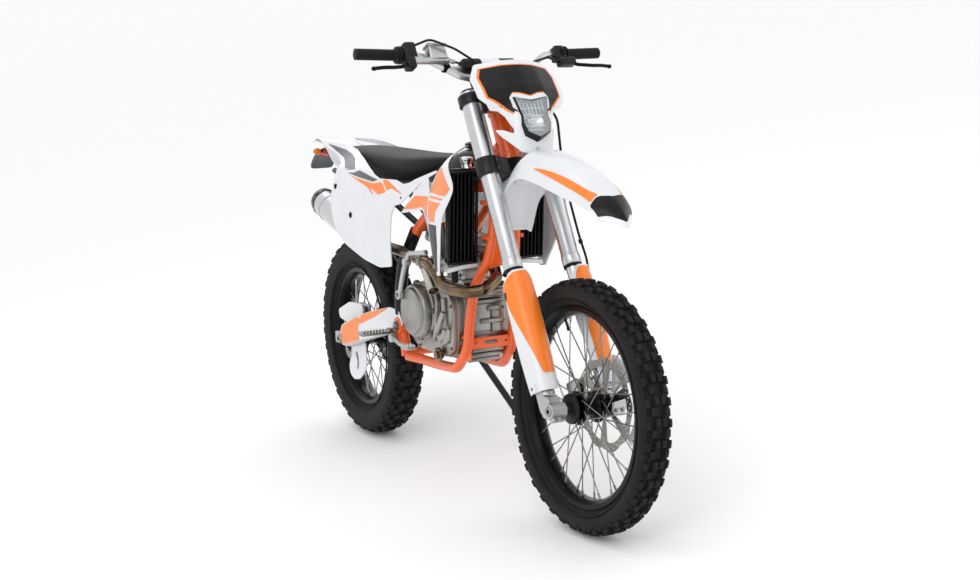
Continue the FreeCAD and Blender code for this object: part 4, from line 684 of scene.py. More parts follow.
def windows(shares, low, high):
    """Six equal cutters round an axle, each from shares of its sixth and reaches."""
    return ringed(outline_plate("window", [polar(reach, math.pi / 3 * share) for share, reach in shares], 0, low,
        high), 6)


def disc_piece(wheel):
    radius, middle = wheel["disc"], wheel["disc_at"]
    waves, steps = 9, 144
    angles = [2 * math.pi * i / steps for i in range(steps)]
    outline = [polar(radius - 3.5 + 3.4 * math.cos(waves * angle), angle) for angle in angles]
    disc = outline_plate(f"{wheel['name']}_wave_disc", outline, 0, middle - 1.5, middle + 1.5)
    hole = bar("disc_hole", (middle - 5, 0, 0), (middle + 5, 0, 0), wheel["disc_hole"] + 0.3, 48)
    cut(disc, hole)
    ring_outer, band_inner = wheel["disc_hole"] + 15, radius - 27
    shares = ((0.16, ring_outer), (0.14, band_inner), (0.32, band_inner + 2), (0.5, band_inner + 3),
        (0.68, band_inner + 2), (0.86, band_inner), (0.84, ring_outer), (0.5, ring_outer))
    cut(disc, windows(shares, middle - 5, middle + 5))
    holes = []
    for i, reach in enumerate((radius - 9, radius - 15, radius - 21)):
        hole = bar("vent", (middle - 5, 0, reach), (middle + 5, 0, reach), 3.4, 10)
        hole.data.transform(Matrix.Rotation(i * 0.09, 4, "X"))
        holes.append(ringed(hole, 27))
    cut(disc, *holes)
    out = 1 if middle > 0 else -1
    bolts = ringed(bolt("disc_bolt", (middle + out * 1.5, 0, wheel["disc_hole"] + 8), X * out, 5, 3), 6)
    whole = coat("steel", f"{wheel['name']}_brake_disc", disc, bolts)
    settle(whole, wheel["frame"], wheel["body"], "steel", f"{wheel['name']}_disc")


def sprocket_piece():
    """Rear sprocket with 48 teeth and lightening windows."""
    steps = 48 * 4
    outline = [polar((113, 107, 105.5, 107)[i % 4], 2 * math.pi * i / steps) for i in range(steps)]
    plate = outline_plate("toothed_sprocket", outline, 0, 69.2, 74.8)
    cut(plate, bar("hub_hole", (60, 0, 0), (84, 0, 0), 28.4, 48))
    cut(plate, windows(((0.14, 62), (0.1, 88), (0.5, 92), (0.9, 88), (0.86, 62), (0.5, 60)), 60, 84))
    rounded(plate, 0.5, 1, 50)
    heads = ringed(bolt("sprocket_bolt", (74.8, 0, 45), X, 7, 5), 6)
    whole = joined("toothed_sprocket", coloured(plate, "silver"), coloured(heads, "steel"))
    settle(whole, REAR_WHEEL, "rear_wheel", "steel", "rear_sprocket")


# Steered pieces, in the STEER frame: Z runs up the steering axis from the height of the axle
LEG_X, LEG_Y = 96, -22
LEG_TOP = 950
BAR_MIDDLE = Vector((0, -8, 1006))
BAR_KNEE = Vector((86, -8, 1006))
BAR_SHOULDER = Vector((205, 4, 1084))
BAR_END = Vector((400, 14, 1095))
BAR_INWARD = (BAR_SHOULDER - BAR_END).normalized()
BAR_GRIP = BAR_END + BAR_INWARD * 122


def stood(obj, x=0.0, y=0.0):
    """Stand a form that was spun about X up along Z, at a place."""
    moved(obj, (x, y, 0), -90, "Y")
    return obj


def along_bar(obj):
    """Lay a form that was spun about X on the left grip, from its inner end outward."""
    turn = (-BAR_INWARD).to_track_quat("X", "Z").to_matrix().to_4x4()
    obj.data.transform(Matrix.Translation(BAR_GRIP) @ turn)
    return obj


def build_fork():
    outer = coloured(turned("outer_leg", [(416, 21.8), (416, 25.5), (419, 27.5), (440, 27.5), (446, 26.6),
        (452, 25.5), (566, 25.5), (600, 27.2), (640, 28.5), (LEG_TOP, 28.5), (LEG_TOP, 21.8)], 64), "silver")
    seal = coloured(turned("dust_seal", [(409, 21.7), (409, 26), (412, 27), (416.4, 27), (416.4, 21.7)], 48),
        "rubber")
    cap = coloured(turned("leg_cap", [(940, 10), (940, 24), (951, 26), (957, 23), (959, 16), (960, 10)], 6 * 8),
        "black_metal")
    valve = coloured(turned("leg_valve", [(955, 0), (955, 9), (963, 8), (965, 5), (965, 0)], 24, closed=False),
        "steel")
    leg = stood(joined("fork_leg", outer, seal, cap, valve), LEG_X, LEG_Y)
    legs = both_sides("fork_upper_legs", leg)
    on_fork(legs, "fork_silver", "fork_outer_tubes")
    fork_lowers()
    fork_guards()
    fork_clamps()
    axle = turned("hollow_axle", [(-124, 6), (-124, 13), (-121, 15), (-119, 15), (-119, 10), (116, 10), (118, 9.4),
        (118, 6)], 48)
    nut = outline_plate("axle_nut", hexagon(15), 0, 117, 124, 1.0)
    cut(nut, bar("nut_bore", (110, 0, 0), (130, 0, 0), 8, 24))
    axle = joined("front_axle_bar", axle, nut)
    moved(axle, (0, -AXLE_AHEAD, 0))
    on_fork(axle, "steel", "front_axle", finish="steel")


def fork_lowers():
    """Inner tubes, the cast lugs that hold the axle, the disc guard and the brake hose."""
    slider = stood(turned("slider", [(80, 0), (80, 21.4), (440, 21.4), (440, 0)], 48, closed=False), LEG_X, LEG_Y)
    coloured(slider, "chrome")
    lug = stood(turned("lug", [(14, 0), (14, 20), (20, 25.4), (60, 26), (82, 25), (90, 22.4), (90, 0)], 40,
        closed=False), LEG_X, LEG_Y)
    boss = bar("boss", (72.5, -AXLE_AHEAD, 0), (121.5, -AXLE_AHEAD, 0), 21, 40, bevel=1.5)
    neck = outline_plate("neck", [(-AXLE_AHEAD - 16, -12), (-AXLE_AHEAD - 8, 12), (-AXLE_AHEAD + 2, 40), (-30, 60),
        (-4, 46), (-2, 20), (-12, -6), (-40, -22)], 0, 76, 116, 3.0)
    pinch = block("pinch", (76, 116), (-AXLE_AHEAD - 6, -AXLE_AHEAD + 14), (-30, -14), 3)
    casting = joined("lug_casting", lug, boss, neck, pinch)
    finish_with(casting, "REMESH", mode="VOXEL", voxel_size=1.3)
    finish_with(casting, "SMOOTH", factor=0.5, iterations=3)
    cut(casting, bar("axle_hole", (60, -AXLE_AHEAD, 0), (130, -AXLE_AHEAD, 0), 10.6, 32))
    coloured(casting, "cast")
    bolts = [bolt("pinch_bolt", (x, -AXLE_AHEAD - 6, -22), -Y, 4.5, 5) for x in (86, 106)]
    bolts.append(bolt("foot_bolt", (LEG_X, LEG_Y, 14), -Z, 9, 5))
    hardware = coat("steel", "lug_bolts", *bolts)
    lower = both_sides("fork_lower_legs", joined("lower_leg", slider, casting, hardware))
    around = [math.radians(a) for a in range(62, -81, -8)]
    rim = [(-AXLE_AHEAD - 137 * math.cos(a), 137 * math.sin(a)) for a in around]
    inner = [(-AXLE_AHEAD - 112 * math.cos(a), 112 * math.sin(a)) for a in reversed(around[2:])]
    web = [(-AXLE_AHEAD - 24, 24), (-AXLE_AHEAD - 14, 30), (-AXLE_AHEAD - 30, 52)]
    guard = outline_plate("disc_guard", rim + inner[:12] + web, 0, 79, 82.5, 1.0)
    hose = pipe("brake_hose", along([(-50, -48, 962), (16, -84, 930), (92, -106, 884), (118, -104, 826),
        (120, -76, 741), (127, -46, 650), (126, -46, 500), (128, -50, 424), (146, -14, 380), (147, -10, 200),
        (132, 18, 120), (88, 40, 92), (70, 48, 84)], 40), 3.8, 12)
    clips = [bar("hose_clip", (126, -46, z), (126, -46, z + 12), 6, 16, bevel=1) for z in (470, 620)]
    clips.append(bar("hose_clip", (146.6, -10, 250), (146.8, -10, 262), 6, 16, bevel=1))
    trim = joined("fork_trim", coloured(guard, "white"), coat("rubber", "brake_hose", hose, *clips))
    lower = joined("fork_lower_legs", lower, trim)
    on_fork(lower, "cast_silver", "fork_lowers")


def fork_guards():
    """White guards wrapped round the front of the inner tubes, with an orange face."""
    def arc(height, start, end, radius, steps):
        angles = [math.radians(start + (end - start) * step / steps) for step in range(steps + 1)]
        return [Vector((LEG_X + math.cos(a) * radius, LEG_Y + math.sin(a) * radius, height)) for a in angles]

    stations = ((60, -128, 40, 40), (78, -132, 56, 41.5), (100, -134, 60, 42.5), (170, -150, 60, 45),
        (240, -165, 60, 46), (300, -164, 55, 45.5), (340, -158, 44, 44.8), (368, -148, 26, 43.8), (388, -130, -8, 43),
        (404, -108, -46, 42.4))
    guard = moulding("fork_guard", [arc(*station, 10) for station in stations], 2.6, levels=2)
    rounded(guard, 0.5, 1, 60)
    coloured(guard, "white")
    faces = ((106, -122, -70, 42.5), (170, -124, -52, 44.7), (240, -126, -26, 45.8), (300, -126, 0, 45.4),
        (340, -126, 16, 44.7), (368, -124, 14, 43.7), (384, -118, -14, 43.1), (398, -106, -50, 42.6))
    film = coloured(moulding("guard_film", [arc(h, a, b, r + 0.5, 10) for h, a, b, r in faces], 0.5, 1.0, levels=2),
        "orange_film")
    notch = arc(352, -6, 10, 46, 3) + arc(330, 2, 12, 46.6, 3)[::-1]
    mark = coloured(moulding("guard_mark", [notch[:4], notch[4:][::-1]], 0.5, 1.0, levels=1), "black_film")
    pads = block("guard_pad", (LEG_X + 20, LEG_X + 41), (LEG_Y - 20, LEG_Y + 12), (62, 84), 3)
    coloured(pads, "white")
    head = coloured(bolt("guard_bolts", (LEG_X + 40, LEG_Y - 4, 73), X, 4, 3), "steel")
    whole = both_sides("fork_leg_guards", joined("guard", guard, film, mark, pads, head))
    on_fork(whole, "white_plastic", "fork_guards")


def fork_clamps():
    """Both triple clamps, with their pinch bolts, the stem nut and the handlebar clamps."""
    def clamp_body(bottom, top, name):
        half = [(LEG_X + 36 * math.cos(math.radians(a)), LEG_Y + 36 * math.sin(math.radians(a)))
            for a in range(-100, 101, 20)]
        half += [(52, 24), (34, 34), (0, 36)]
        outline = half + mirrored(half[:-1]) + [(-30, -30), (0, -38), (30, -30)]
        body = outline_plate(name, outline, 2, bottom, top)
        cut(body, *[bar("leg_hole", (side * LEG_X, LEG_Y, bottom - 5), (side * LEG_X, LEG_Y, top + 5), 28.6, 48)
            for side in (-1, 1)])
        return rounded(body, 2.0, 2, 50)

    lower = clamp_body(694, 746, "lower_clamp_body")
    cut(lower, *[block("slot", (side * LEG_X - 3, side * LEG_X + 3), (LEG_Y - 60, LEG_Y - 20), (690, 750))
        for side in (-1, 1)])
    bolts = [bolt("clamp_bolt", (side * (LEG_X - 10), LEG_Y - 36, z), -X * side, 4.2, 5) for side in (-1, 1)
        for z in (708, 732)]
    stem = bar("stem", (0, 0, 746), (0, 0, 912), 12.9, 32)
    lower = joined("lower_triple_clamp", coloured(lower, "black_coat"),
        coat("steel", "lower_clamp_bolts", stem, *bolts))
    on_fork(lower, "black_metal", "lower_clamp")
    upper = clamp_body(912, 942, "upper_clamp_body")
    cut(upper, bar("stem_hole", (0, 0, 905), (0, 0, 950), 13.2, 32))
    risers = []
    for side in (-1, 1):
        post = block("riser", (side * 50 - 15, side * 50 + 15), (BAR_MIDDLE.y - 19, BAR_MIDDLE.y + 19), (940, 1022),
            4)
        cut(post, bar("bar_hole", (side * 50 - 30, BAR_MIDDLE.y, BAR_MIDDLE.z),
            (side * 50 + 30, BAR_MIDDLE.y, BAR_MIDDLE.z), 14.1, 32))
        gap = block("gap", (side * 50 - 30, side * 50 + 30), (BAR_MIDDLE.y - 40, BAR_MIDDLE.y + 40),
            (BAR_MIDDLE.z - 0.8, BAR_MIDDLE.z + 0.8))
        risers.append(cut(post, gap))
    heads = [bolt("riser_bolt", (side * 50 + x, BAR_MIDDLE.y + y, 1022), Z, 3.8, 4) for side in (-1, 1)
        for x in (-9, 9) for y in (-14, 14)]
    nut = bolt("stem_nut", (0, 0, 942), Z, 14, 7)
    upper = joined("upper_triple_clamp", coat("black_coat", "upper_body", upper, *risers),
        coat("steel", "upper_bolts", nut, *heads))
    on_fork(upper, "black_metal", "upper_clamp")


class ENDURO_OT_fork(bpy.types.Operator):
    """Fork legs, axle lugs, guards, clamps and the front axle"""
    bl_idname = "enduro.fork"
    bl_label = "Fork"

    def execute(self, context):
        build_fork()
        return {"FINISHED"}


def build_handlebar():
    inner_end = BAR_SHOULDER - BAR_INWARD * 16
    run = (BAR_SHOULDER - BAR_KNEE).normalized()
    half = [BAR_MIDDLE, BAR_KNEE - X * 34, BAR_KNEE - X * 16, BAR_KNEE + run * 14, BAR_KNEE + run * 30,
        BAR_SHOULDER - run * 26, BAR_SHOULDER - run * 8, inner_end, inner_end - BAR_INWARD * 20, BAR_END]
    points = [Vector((-p.x, p.y, p.z)) for p in reversed(half[1:])] + half
    tube = coloured(pipe("bar_tube", points, 11, 24), "silver")
    middle = bar("bar_middle", BAR_MIDDLE - X * 72, BAR_MIDDLE + X * 72, 14, 40, bevel=3)
    coloured(middle, "silver")
    lift = (BAR_SHOULDER - BAR_KNEE) * 0.45
    brace_end = BAR_MIDDLE + lift + X * 86
    brace = pipe("bar_brace", [Vector((-brace_end.x, brace_end.y, brace_end.z)), BAR_MIDDLE + lift - X * 20,
        BAR_MIDDLE + lift + X * 20, brace_end], 6.2, 16)
    coloured(brace, "silver")
    clamp = bar("brace_clamp", brace_end - X * 12, brace_end + X * 9, 13, 20, bevel=2)
    clamps = coloured(both_sides("brace_clamps", clamp), "black_metal")
    whole = joined("swept_handlebar", tube, middle, brace, clamps)
    on_fork(whole, "cast_silver", "handlebar")

    profile = [(-1, 11.2), (-1, 24), (2, 24.6), (4, 23), (5, 17)]
    for i in range(18):
        along = 8 + i * 6.2
        profile += [(along, 15.2), (along + 0.6, 16.2), (along + 3.6, 16.2), (along + 4.2, 15.2)]
    profile += [(121, 16), (125, 16.4), (126, 14), (126, 0.01)]
    grip = along_bar(turned("grip", profile, 40, closed=False))
    on_fork(both_sides("ribbed_grips", grip), "grip_rubber", "grips", finish="rubber")
    bar_controls()
    pad_centre = BAR_MIDDLE + lift
    wedge = [(-24, -12), (24, -12), (27, 8), (15, 24), (-15, 24), (-27, 8)]
    pad = outline_plate("bar_pad_foam", [(pad_centre.y + y, pad_centre.z + z) for y, z in wedge], 0, -86, 86, 5)
    band = outline_plate("pad_band", [(pad_centre.y + y * 1.02, pad_centre.z + z * 1.03) for y, z in wedge], 0, -34,
        34, 4)
    pad = joined("bar_pad_cover", coloured(pad, "seat"), coloured(band, "white"))
    on_fork(pad, "pad_foam", "bar_pad")


def bar_controls():
    inward = BAR_INWARD
    perch = bar("perch", BAR_GRIP + inward * 3, BAR_GRIP + inward * 36, 18, 32, bevel=3)
    strap = block("perch_strap", (BAR_GRIP.x - 30, BAR_GRIP.x - 8), (BAR_GRIP.y - 30, BAR_GRIP.y - 6),
        (BAR_GRIP.z - 18, BAR_GRIP.z + 6), 4)
    tip_at = Vector((388, -46, 1020))
    lever = pipe("lever", [BAR_GRIP + inward * 22 + Vector((0, -18, -14)), Vector((276, -34, 1034)),
        Vector((296, -50, 1024)), Vector((330, -54, 1019)), Vector((360, -50, 1022)), tip_at], 5.4, 12)
    tip = ball("lever_tip", tip_at, 8)
    side = joined("lever_and_perch", perch, strap, lever, tip)
    pair = coloured(both_sides("levers", side), "black_metal")
    body = block("reservoir", (-202, -146), (-46, -14), (1050, 1094), 7, 3)
    lid = block("reservoir_lid", (-205, -143), (-49, -11), (1091, 1099), 3)
    screws = [bar("lid_screw", (x, -30, 1098), (x, -30, 1100.6), 3, 12) for x in (-196, -152)]
    cylinder = bar("master_cylinder", (-258, -30, 1052), (-140, -30, 1052), 11, 28, bevel=2)
    union = bar("hose_union", (-140, -30, 1052), (-122, -30, 1046), 7, 20, bevel=1)
    silver = coat("cast", "reservoir_group", body, lid, cylinder, union)
    clamp = bar("cylinder_clamp", BAR_GRIP + inward * 40, BAR_GRIP + inward * 56, 17.5, 28, bevel=2)
    throttle = bar("throttle_body", BAR_GRIP + inward * 2, BAR_GRIP + inward * 34, 26, 32, 23, bevel=3)
    housing = block("throttle_housing", (232, 270), (-34, 12), (1050, 1112), 9, 3)
    lower = block("lever_clamp", (248, 276), (-44, -8), (1026, 1060), 6, 3)
    right = coloured(flipped(joined("right_clamp", clamp, throttle, housing, lower), "right_clamps"), "black_plastic")
    dropped(clamp)
    switch = joined("switch_box", block("switch_box", (234, 266), (-20, 18), (1062, 1106), 6, 3),
        block("clutch_perch", (226, 282), (-44, -12), (1032, 1056), 7, 3))
    cables = [pipe("bar_cable", along(points, 30), 3.6, 12) for points in ([(-240, -10, 1104), (-200, -58, 1104),
        (-130, -62, 1072), (-70, -50, 1040), (-40, -30, 980)], [(-124, -30, 1047), (-100, -40, 1034),
        (-66, -52, 1012), (-50, -48, 960)], [(228, -28, 1044), (180, -50, 1050), (120, -60, 1030), (70, -50, 1000),
        (50, -48, 950)])]
    cables = coat("rubber", "bar_cables", *cables)
    coloured(switch, "black_plastic")
    steel = coat("steel", "lid_screws", *screws)
    whole = joined("bar_controls_set", pair, silver, right, switch, steel, cables)
    on_fork(whole, "black_plastic", "bar_controls")


class ENDURO_OT_handlebar(bpy.types.Operator):
    """Handlebar, grips, levers, master cylinder, switches and pad"""
    bl_idname = "enduro.handlebar"
    bl_label = "Handlebar"

    def execute(self, context):
        build_handlebar()
        return {"FINISHED"}


def ball(name, place, radius):
    """A small round knob, slightly flattened."""
    object_mode()
    bpy.ops.mesh.primitive_uv_sphere_add(segments=20, ring_count=12, radius=radius, location=place)
    obj = added(name)
    obj.scale = (1, 0.85, 0.8)
    return apply_place(obj)


def front_mask():
    """An angular plate with open side vents, bent back at both sides."""
    half = [(8, 706), (50, 716), (84, 772), (95, 797), (80, 787), (63, 768), (60, 777), (76, 820), (92, 839),
        (112, 845), (139, 884), (140, 950), (116, 994)]
    outline = half + mirrored(half)
    shell = laid_panel("mask_shell", outline, mask_ahead, 3, 11, 5)
    moved(shell, (0, 0, 0), -90, "Z")
    cut(shell, outline_plate("lamp_hole", scaled(LAMP_OUTLINE, 1.03, 1.03, LAMP_MIDDLE), 1, -220, -60))
    coloured(shell, "white")
    side = [(0, 868), (28, 879), (50, 882), (63, 866), (56, 820), (80, 848), (114, 880), (118, 946), (106, 974)]
    panel = side + mirrored(side[1:])
    edge = [(x * 1.05, 915 + (z - 915) * (1.07 if z > 915 else 1.0) - (3 if z < 890 else 0)) for x, z in panel]
    film_start = -400
    films = [coloured(decal("mask_film", shell, outline, 1, film_start, lift, 14), finish)
        for outline, lift, finish in ((edge, 0.6, "orange_film"), (panel, 1.3, "black_film"))]
    for sign in (-1, 1):
        cheek = [(sign * x, z) for x, z in ((92, 849), (62, 840), (40, 816), (66, 832))]
        films.append(coloured(decal("mask_cheek", shell, cheek, 1, film_start, 0.4), "black_film"))
    back = block("mask_bracket", (-62, 62), (-140, -128), (880, 960), 5)
    arms = [bar("mask_arm", (side * 56, -134, z), (side * 72, -44, z), 6, 16) for side in (-1, 1) for z in (886, 952)]
    back = coat("black_plastic", "mask_bracket", back, *arms)
    screw = coloured(bolt("mask_screw", (0, -mask_ahead(0, 722) - 1, 722), -Y, 5, 2), "pale_film")
    on_fork(joined("headlamp_mask", shell, back, screw, *films), "white_plastic", "headlight_mask")


def front_lamp():
    """A clear lens in front of a bright, ribbed reflector."""
    def inside(share):
        return scaled(LAMP_OUTLINE, share, share, LAMP_MIDDLE)

    bezel = outline_plate("lamp_bezel", LAMP_OUTLINE, 1, -177, -120, 1.5)
    cut(bezel, outline_plate("opening", inside(0.93), 1, -190, -128))
    coloured(bezel, "black_plastic")
    bowl = turned("reflector", [(0, 4), (2, 14), (8, 24), (20, 34), (22, 34), (9, 20), (4, 4)], 40)
    moved(bowl, (0, -134, 796), -90, "Z")
    ribs = [block("reflector_rib", (x - 1.5, x + 1.5), (-168, -128), (812 + abs(x) * 0.3, 856))
        for x in (-36, -24, -12, 0, 12, 24, 36)]
    ribs += [block("reflector_fin", (-half, half), (-166, -128), (z, z + 2.4))
        for z, half in ((766, 32), (778, 36), (812, 38), (832, 40))]
    back = outline_plate("reflector_back", inside(0.92), 1, -131, -128)
    bright = coloured(joined("lamp_inside", back, bowl, *ribs, ball("lamp_bulb", (0, -150, 796), 8)), "chrome")
    lens = coloured(outline_plate("lens", inside(0.96), 1, -179, -176, 1.0), "glass")
    on_fork(joined("headlamp_unit", bezel, bright, lens), "lamp_lens", "headlamp")


def front_fender():
    stations = ((-46, 556, 38, 10, 0), (-16, 610, 50, 12, 0), (12, 652, 60, 18, 0), (48, 676, 74, 38, 0),
        (84, 690, 80, 54, 0), (120, 702, 83, 62, 0), (159, 704, 84, 66, 0), (190, 697, 84, 72, 0),
        (228, 671, 84, 72, 0), (267, 641, 84, 71, 0), (312, 602, 82, 71, 0), (352, 560, 78, 65, 0),
        (390, 510, 72, 52, 0), (418, 468, 66, 44, 8), (440, 424, 60, 32, 24), (450, 388, 55, 22, 36),
        (456, 352, 50, 13, 46))
    rows = []
    for ahead, height, half, drop, vee in stations:
        row = []
        for s in range(-8, 9):
            share = abs(s / 8)
            crease = 2.5 * max(0.0, 1 - abs(share - 0.55) / 0.15)
            row.append(Vector((half * s / 8, drop * 0.4 * share ** 2 + vee * share - ahead,
                height - drop * share ** 4 + vee * 1.2 * share + crease)))
        rows.append(row)
    shell = moulding("fender_shell", rows, 2.8, levels=2)
    rounded(shell, 0.5, 1, 60)
    coloured(shell, "white")
    across_tip = [(row, -0.94, 0.94) for row in (13.35, 13.7, 14, 14.4, 14.8, 15.2, 15.6)]
    films = [coloured(laid_film("fender_tip_film", shell, rows, across_tip, 20), "black_film")]
    stripe = ((8, 0.86, 0.87), (8.8, 0.815, 0.88), (9.7, 0.78, 0.88), (10.5, 0.75, 0.88), (11.2, 0.73, 0.88),
        (12, 0.69, 0.87), (12.6, 0.64, 0.87), (13.2, 0.5, 0.87))
    for sign in (-1, 1):
        strips = [(row, sign * low, sign * high) for row, low, high in stripe]
        films.append(coloured(laid_film("fender_stripe", shell, rows, strips, 5), "orange_film"))
    mount = block("fender_mount", (-33, 33), (-50, 46), (662, 693.6), 3)
    heads = [bolt("fender_bolt", (x, -174, 700), Z, 4.5, 3) for x in (-22, 22)]
    whole = joined("front_fender_moulding", shell, coloured(mount, "white"), coat("steel", "fender_bolts", *heads),
        *films)
    on_fork(whole, "white_plastic", "front_fender")


class ENDURO_OT_front_bodywork(bpy.types.Operator):
    """Headlamp mask, lamp and front fender"""
    bl_idname = "enduro.front_bodywork"
    bl_label = "Front bodywork"

    def execute(self, context):
        front_mask()
        front_lamp()
        front_fender()
        return {"FINISHED"}


# The lamp's outline, from its top corner round, and how far the mask stands ahead at each height
LAMP_OUTLINE = [(54, 865), (42, 808), (44, 784), (36, 756), (0, 738), (-36, 756), (-44, 784), (-42, 808), (-54, 865),
    (0, 853)]
LAMP_MIDDLE = 808
MASK_AHEAD = ((706, 140), (760, 162), (800, 174), (850, 178), (900, 172), (960, 156), (1004, 142))


def between(table, at):
    """A value read off a table, in a straight line from one entry to the next."""
    for (low, first), (high, second) in zip(table, table[1:]):
        if at <= high:
            return first + (second - first) * max(0.0, (at - low) / (high - low))
    return table[-1][1]


def mask_ahead(x, z):
    """The mask's front at a place: its cheeks bend back more below the lamp than beside the panel."""
    bend = between(((700, 1.4), (800, 1.4), (860, 0.42)), z)
    return between(MASK_AHEAD, z) - bend * max(0.0, abs(x) - 52) - 0.12 * min(52.0, abs(x))


def along(points, reach=45):
    """Control points that keep a pipe close to its measured run, with a bend at each corner."""
    points = [Vector(point) for point in points]
    run = [points[0]]
    for before, corner, after in zip(points, points[1:], points[2:]):
        back, ahead = before - corner, after - corner
        run += [corner + back.normalized() * min(reach, back.length * 0.45), corner, corner
            + ahead.normalized() * min(reach, ahead.length * 0.45)]
    return run + [points[-1]]


def softened(outline, reach=10, steps=4):
    """An outline with its corners drawn round."""
    corners = [Vector(point) for point in outline]
    soft = []
    for i, corner in enumerate(corners):
        back, ahead = corners[i - 1] - corner, corners[(i + 1) % len(corners)] - corner
        start = corner + back.normalized() * min(reach, back.length * 0.45)
        end = corner + ahead.normalized() * min(reach, ahead.length * 0.45)
        for step in range(steps + 1):
            share = step / steps
            soft.append(tuple(start.lerp(corner, share).lerp(corner.lerp(end, share), share)))
    return soft


def laid_panel(name, outline, depth, thickness=3.0, cell=16, reach=10):
    """A moulded panel of any outline in (y, z), laid over a depth that varies across it."""
    lows = [min(point[i] for point in outline) - 5 for i in (0, 1)]
    highs = [max(point[i] for point in outline) + 5 for i in (0, 1)]
    counts = [max(2, round((highs[i] - lows[i]) / cell)) for i in (0, 1)]
    object_mode()
    bpy.ops.mesh.primitive_grid_add(x_subdivisions=counts[0], y_subdivisions=counts[1], size=1)
    obj = added(name)
    for vertex in obj.data.vertices:
        y = lows[0] + (vertex.co.x + 0.5) * (highs[0] - lows[0])
        z = lows[1] + (vertex.co.y + 0.5) * (highs[1] - lows[1])
        vertex.co = (0, y, z)
    finish_with(obj, "SOLIDIFY", thickness=thickness, offset=0)
    edge = outline_plate(name + "_edge", softened(outline, reach), 0, -50, 50)
    finish_with(obj, "BOOLEAN", operation="INTERSECT", object=edge, solver="EXACT")
    dropped(edge)
    for vertex in obj.data.vertices:
        vertex.co.x += depth(vertex.co.y, vertex.co.z)
    facing_out(obj)
    return rounded(obj, thickness * 0.3, 2, 60)


def lofted(name, rings, levels=1):
    """A closed body through rings of points, capped at both ends."""
    obj = grid(name, [ring + ring[:1] for ring in rings])
    edit(obj)
    bpy.ops.mesh.remove_doubles(threshold=0.01)
    bpy.ops.mesh.select_all(action="DESELECT")
    bpy.ops.mesh.select_non_manifold()
    bpy.ops.mesh.fill_holes(sides=0)
    bpy.ops.mesh.select_all(action="SELECT")
    bpy.ops.mesh.normals_make_consistent(inside=False)
    object_mode()
    return smoothed(obj, levels)


def steered(height, behind, across=0.0):
    """A place beside the head tube, given along and behind the steering axis."""
    up, ahead = Vector((0, math.sin(RAKE), math.cos(RAKE))), Vector((0, -math.cos(RAKE), math.sin(RAKE)))
    return FRONT_AXLE - ahead * AXLE_AHEAD + up * height - ahead * behind + X * across


def build_frame():
    head = turned("head_tube_ring", [(748, 14.5), (748, 32), (752, 33), (764, 33), (768, 30), (890, 30), (894, 33),
        (906, 33), (910, 32), (910, 14.5)], 48)
    settle(stood(head), STEER, "chassis", "orange_frame", "head_tube", finish="orange")

    spar = pipe("spar", along([steered(799, 6, 19), (40, -240, 968), (74, -130, 905), (94, -30, 846), (102, 90, 765),
        (104, 200, 650), (101, 236, 540), (101, 232, 452), (100, 212, 356)], 60), 16.6, 24)
    pivot = bar("pivot_boss", PIVOT + X * 84, PIVOT + X * 122, 27, 36, bevel=2)
    peg = block("peg_plate", (100, 122), (224, 282), (405, 427), 3)
    guard = pipe("spar_guard", along([(103.5, 96, 762), (105.5, 200, 650), (103, 238, 540), (103, 236, 486)], 60),
        19.5, 24)
    coloured(guard, "black_plastic")
    side = joined("main_spar", coat("orange", "spar_weld", spar, pivot, peg), guard)
    on_bike(both_sides("main_spars", side), "orange_frame", "main_frame")

    tube = pipe("down_tube", along([steered(795, 24, 20), steered(761, 74, 24), (34, -298, 800), (42, -270, 704),
        (70, -226, 618), (72, -196, 520), (74, -178, 430), (78, -110, 362), (82, 10, 356), (88, 130, 356),
        (100, 200, 356)], 55), 15.6, 24)
    tabs = [block("tab", (44, 60), (-300, -262), (z + 4, z + 16), 2) for z in (760, 860)]
    mount = outline_plate("engine_mount", softened([(-196, 396), (-128, 400), (-120, 440), (-150, 470), (-190, 470)],
        8), 0, 70, 76, 0.8)
    side = joined("down_tube_side", tube, mount, *tabs)
    nut = coloured(bolt("engine_bolt", (76, -146, 446), X, 8, 6), "steel")
    side = joined("down_tube_side", coloured(side, "orange"), nut)
    on_bike(both_sides("cradle_tubes", side), "orange_frame", "frame_cradle")
    frame_plates()
    upper = pipe("upper_rail", along([(100, 70, 778), (96, 300, 846), (80, 600, 868), (60, 860, 905)], 60), 9.8, 16)
    lower = pipe("lower_rail", along([(103, 190, 640), (100, 320, 700), (82, 590, 858)], 60), 9.8, 16)
    cross = bar("rear_cross", (-82, 580, 864), (82, 580, 864), 8, 20)
    rear = joined("rear_frame", both_sides("rails", upper, lower), cross)
    on_bike(rear, "orange_frame", "subframe", finish="black_coat")


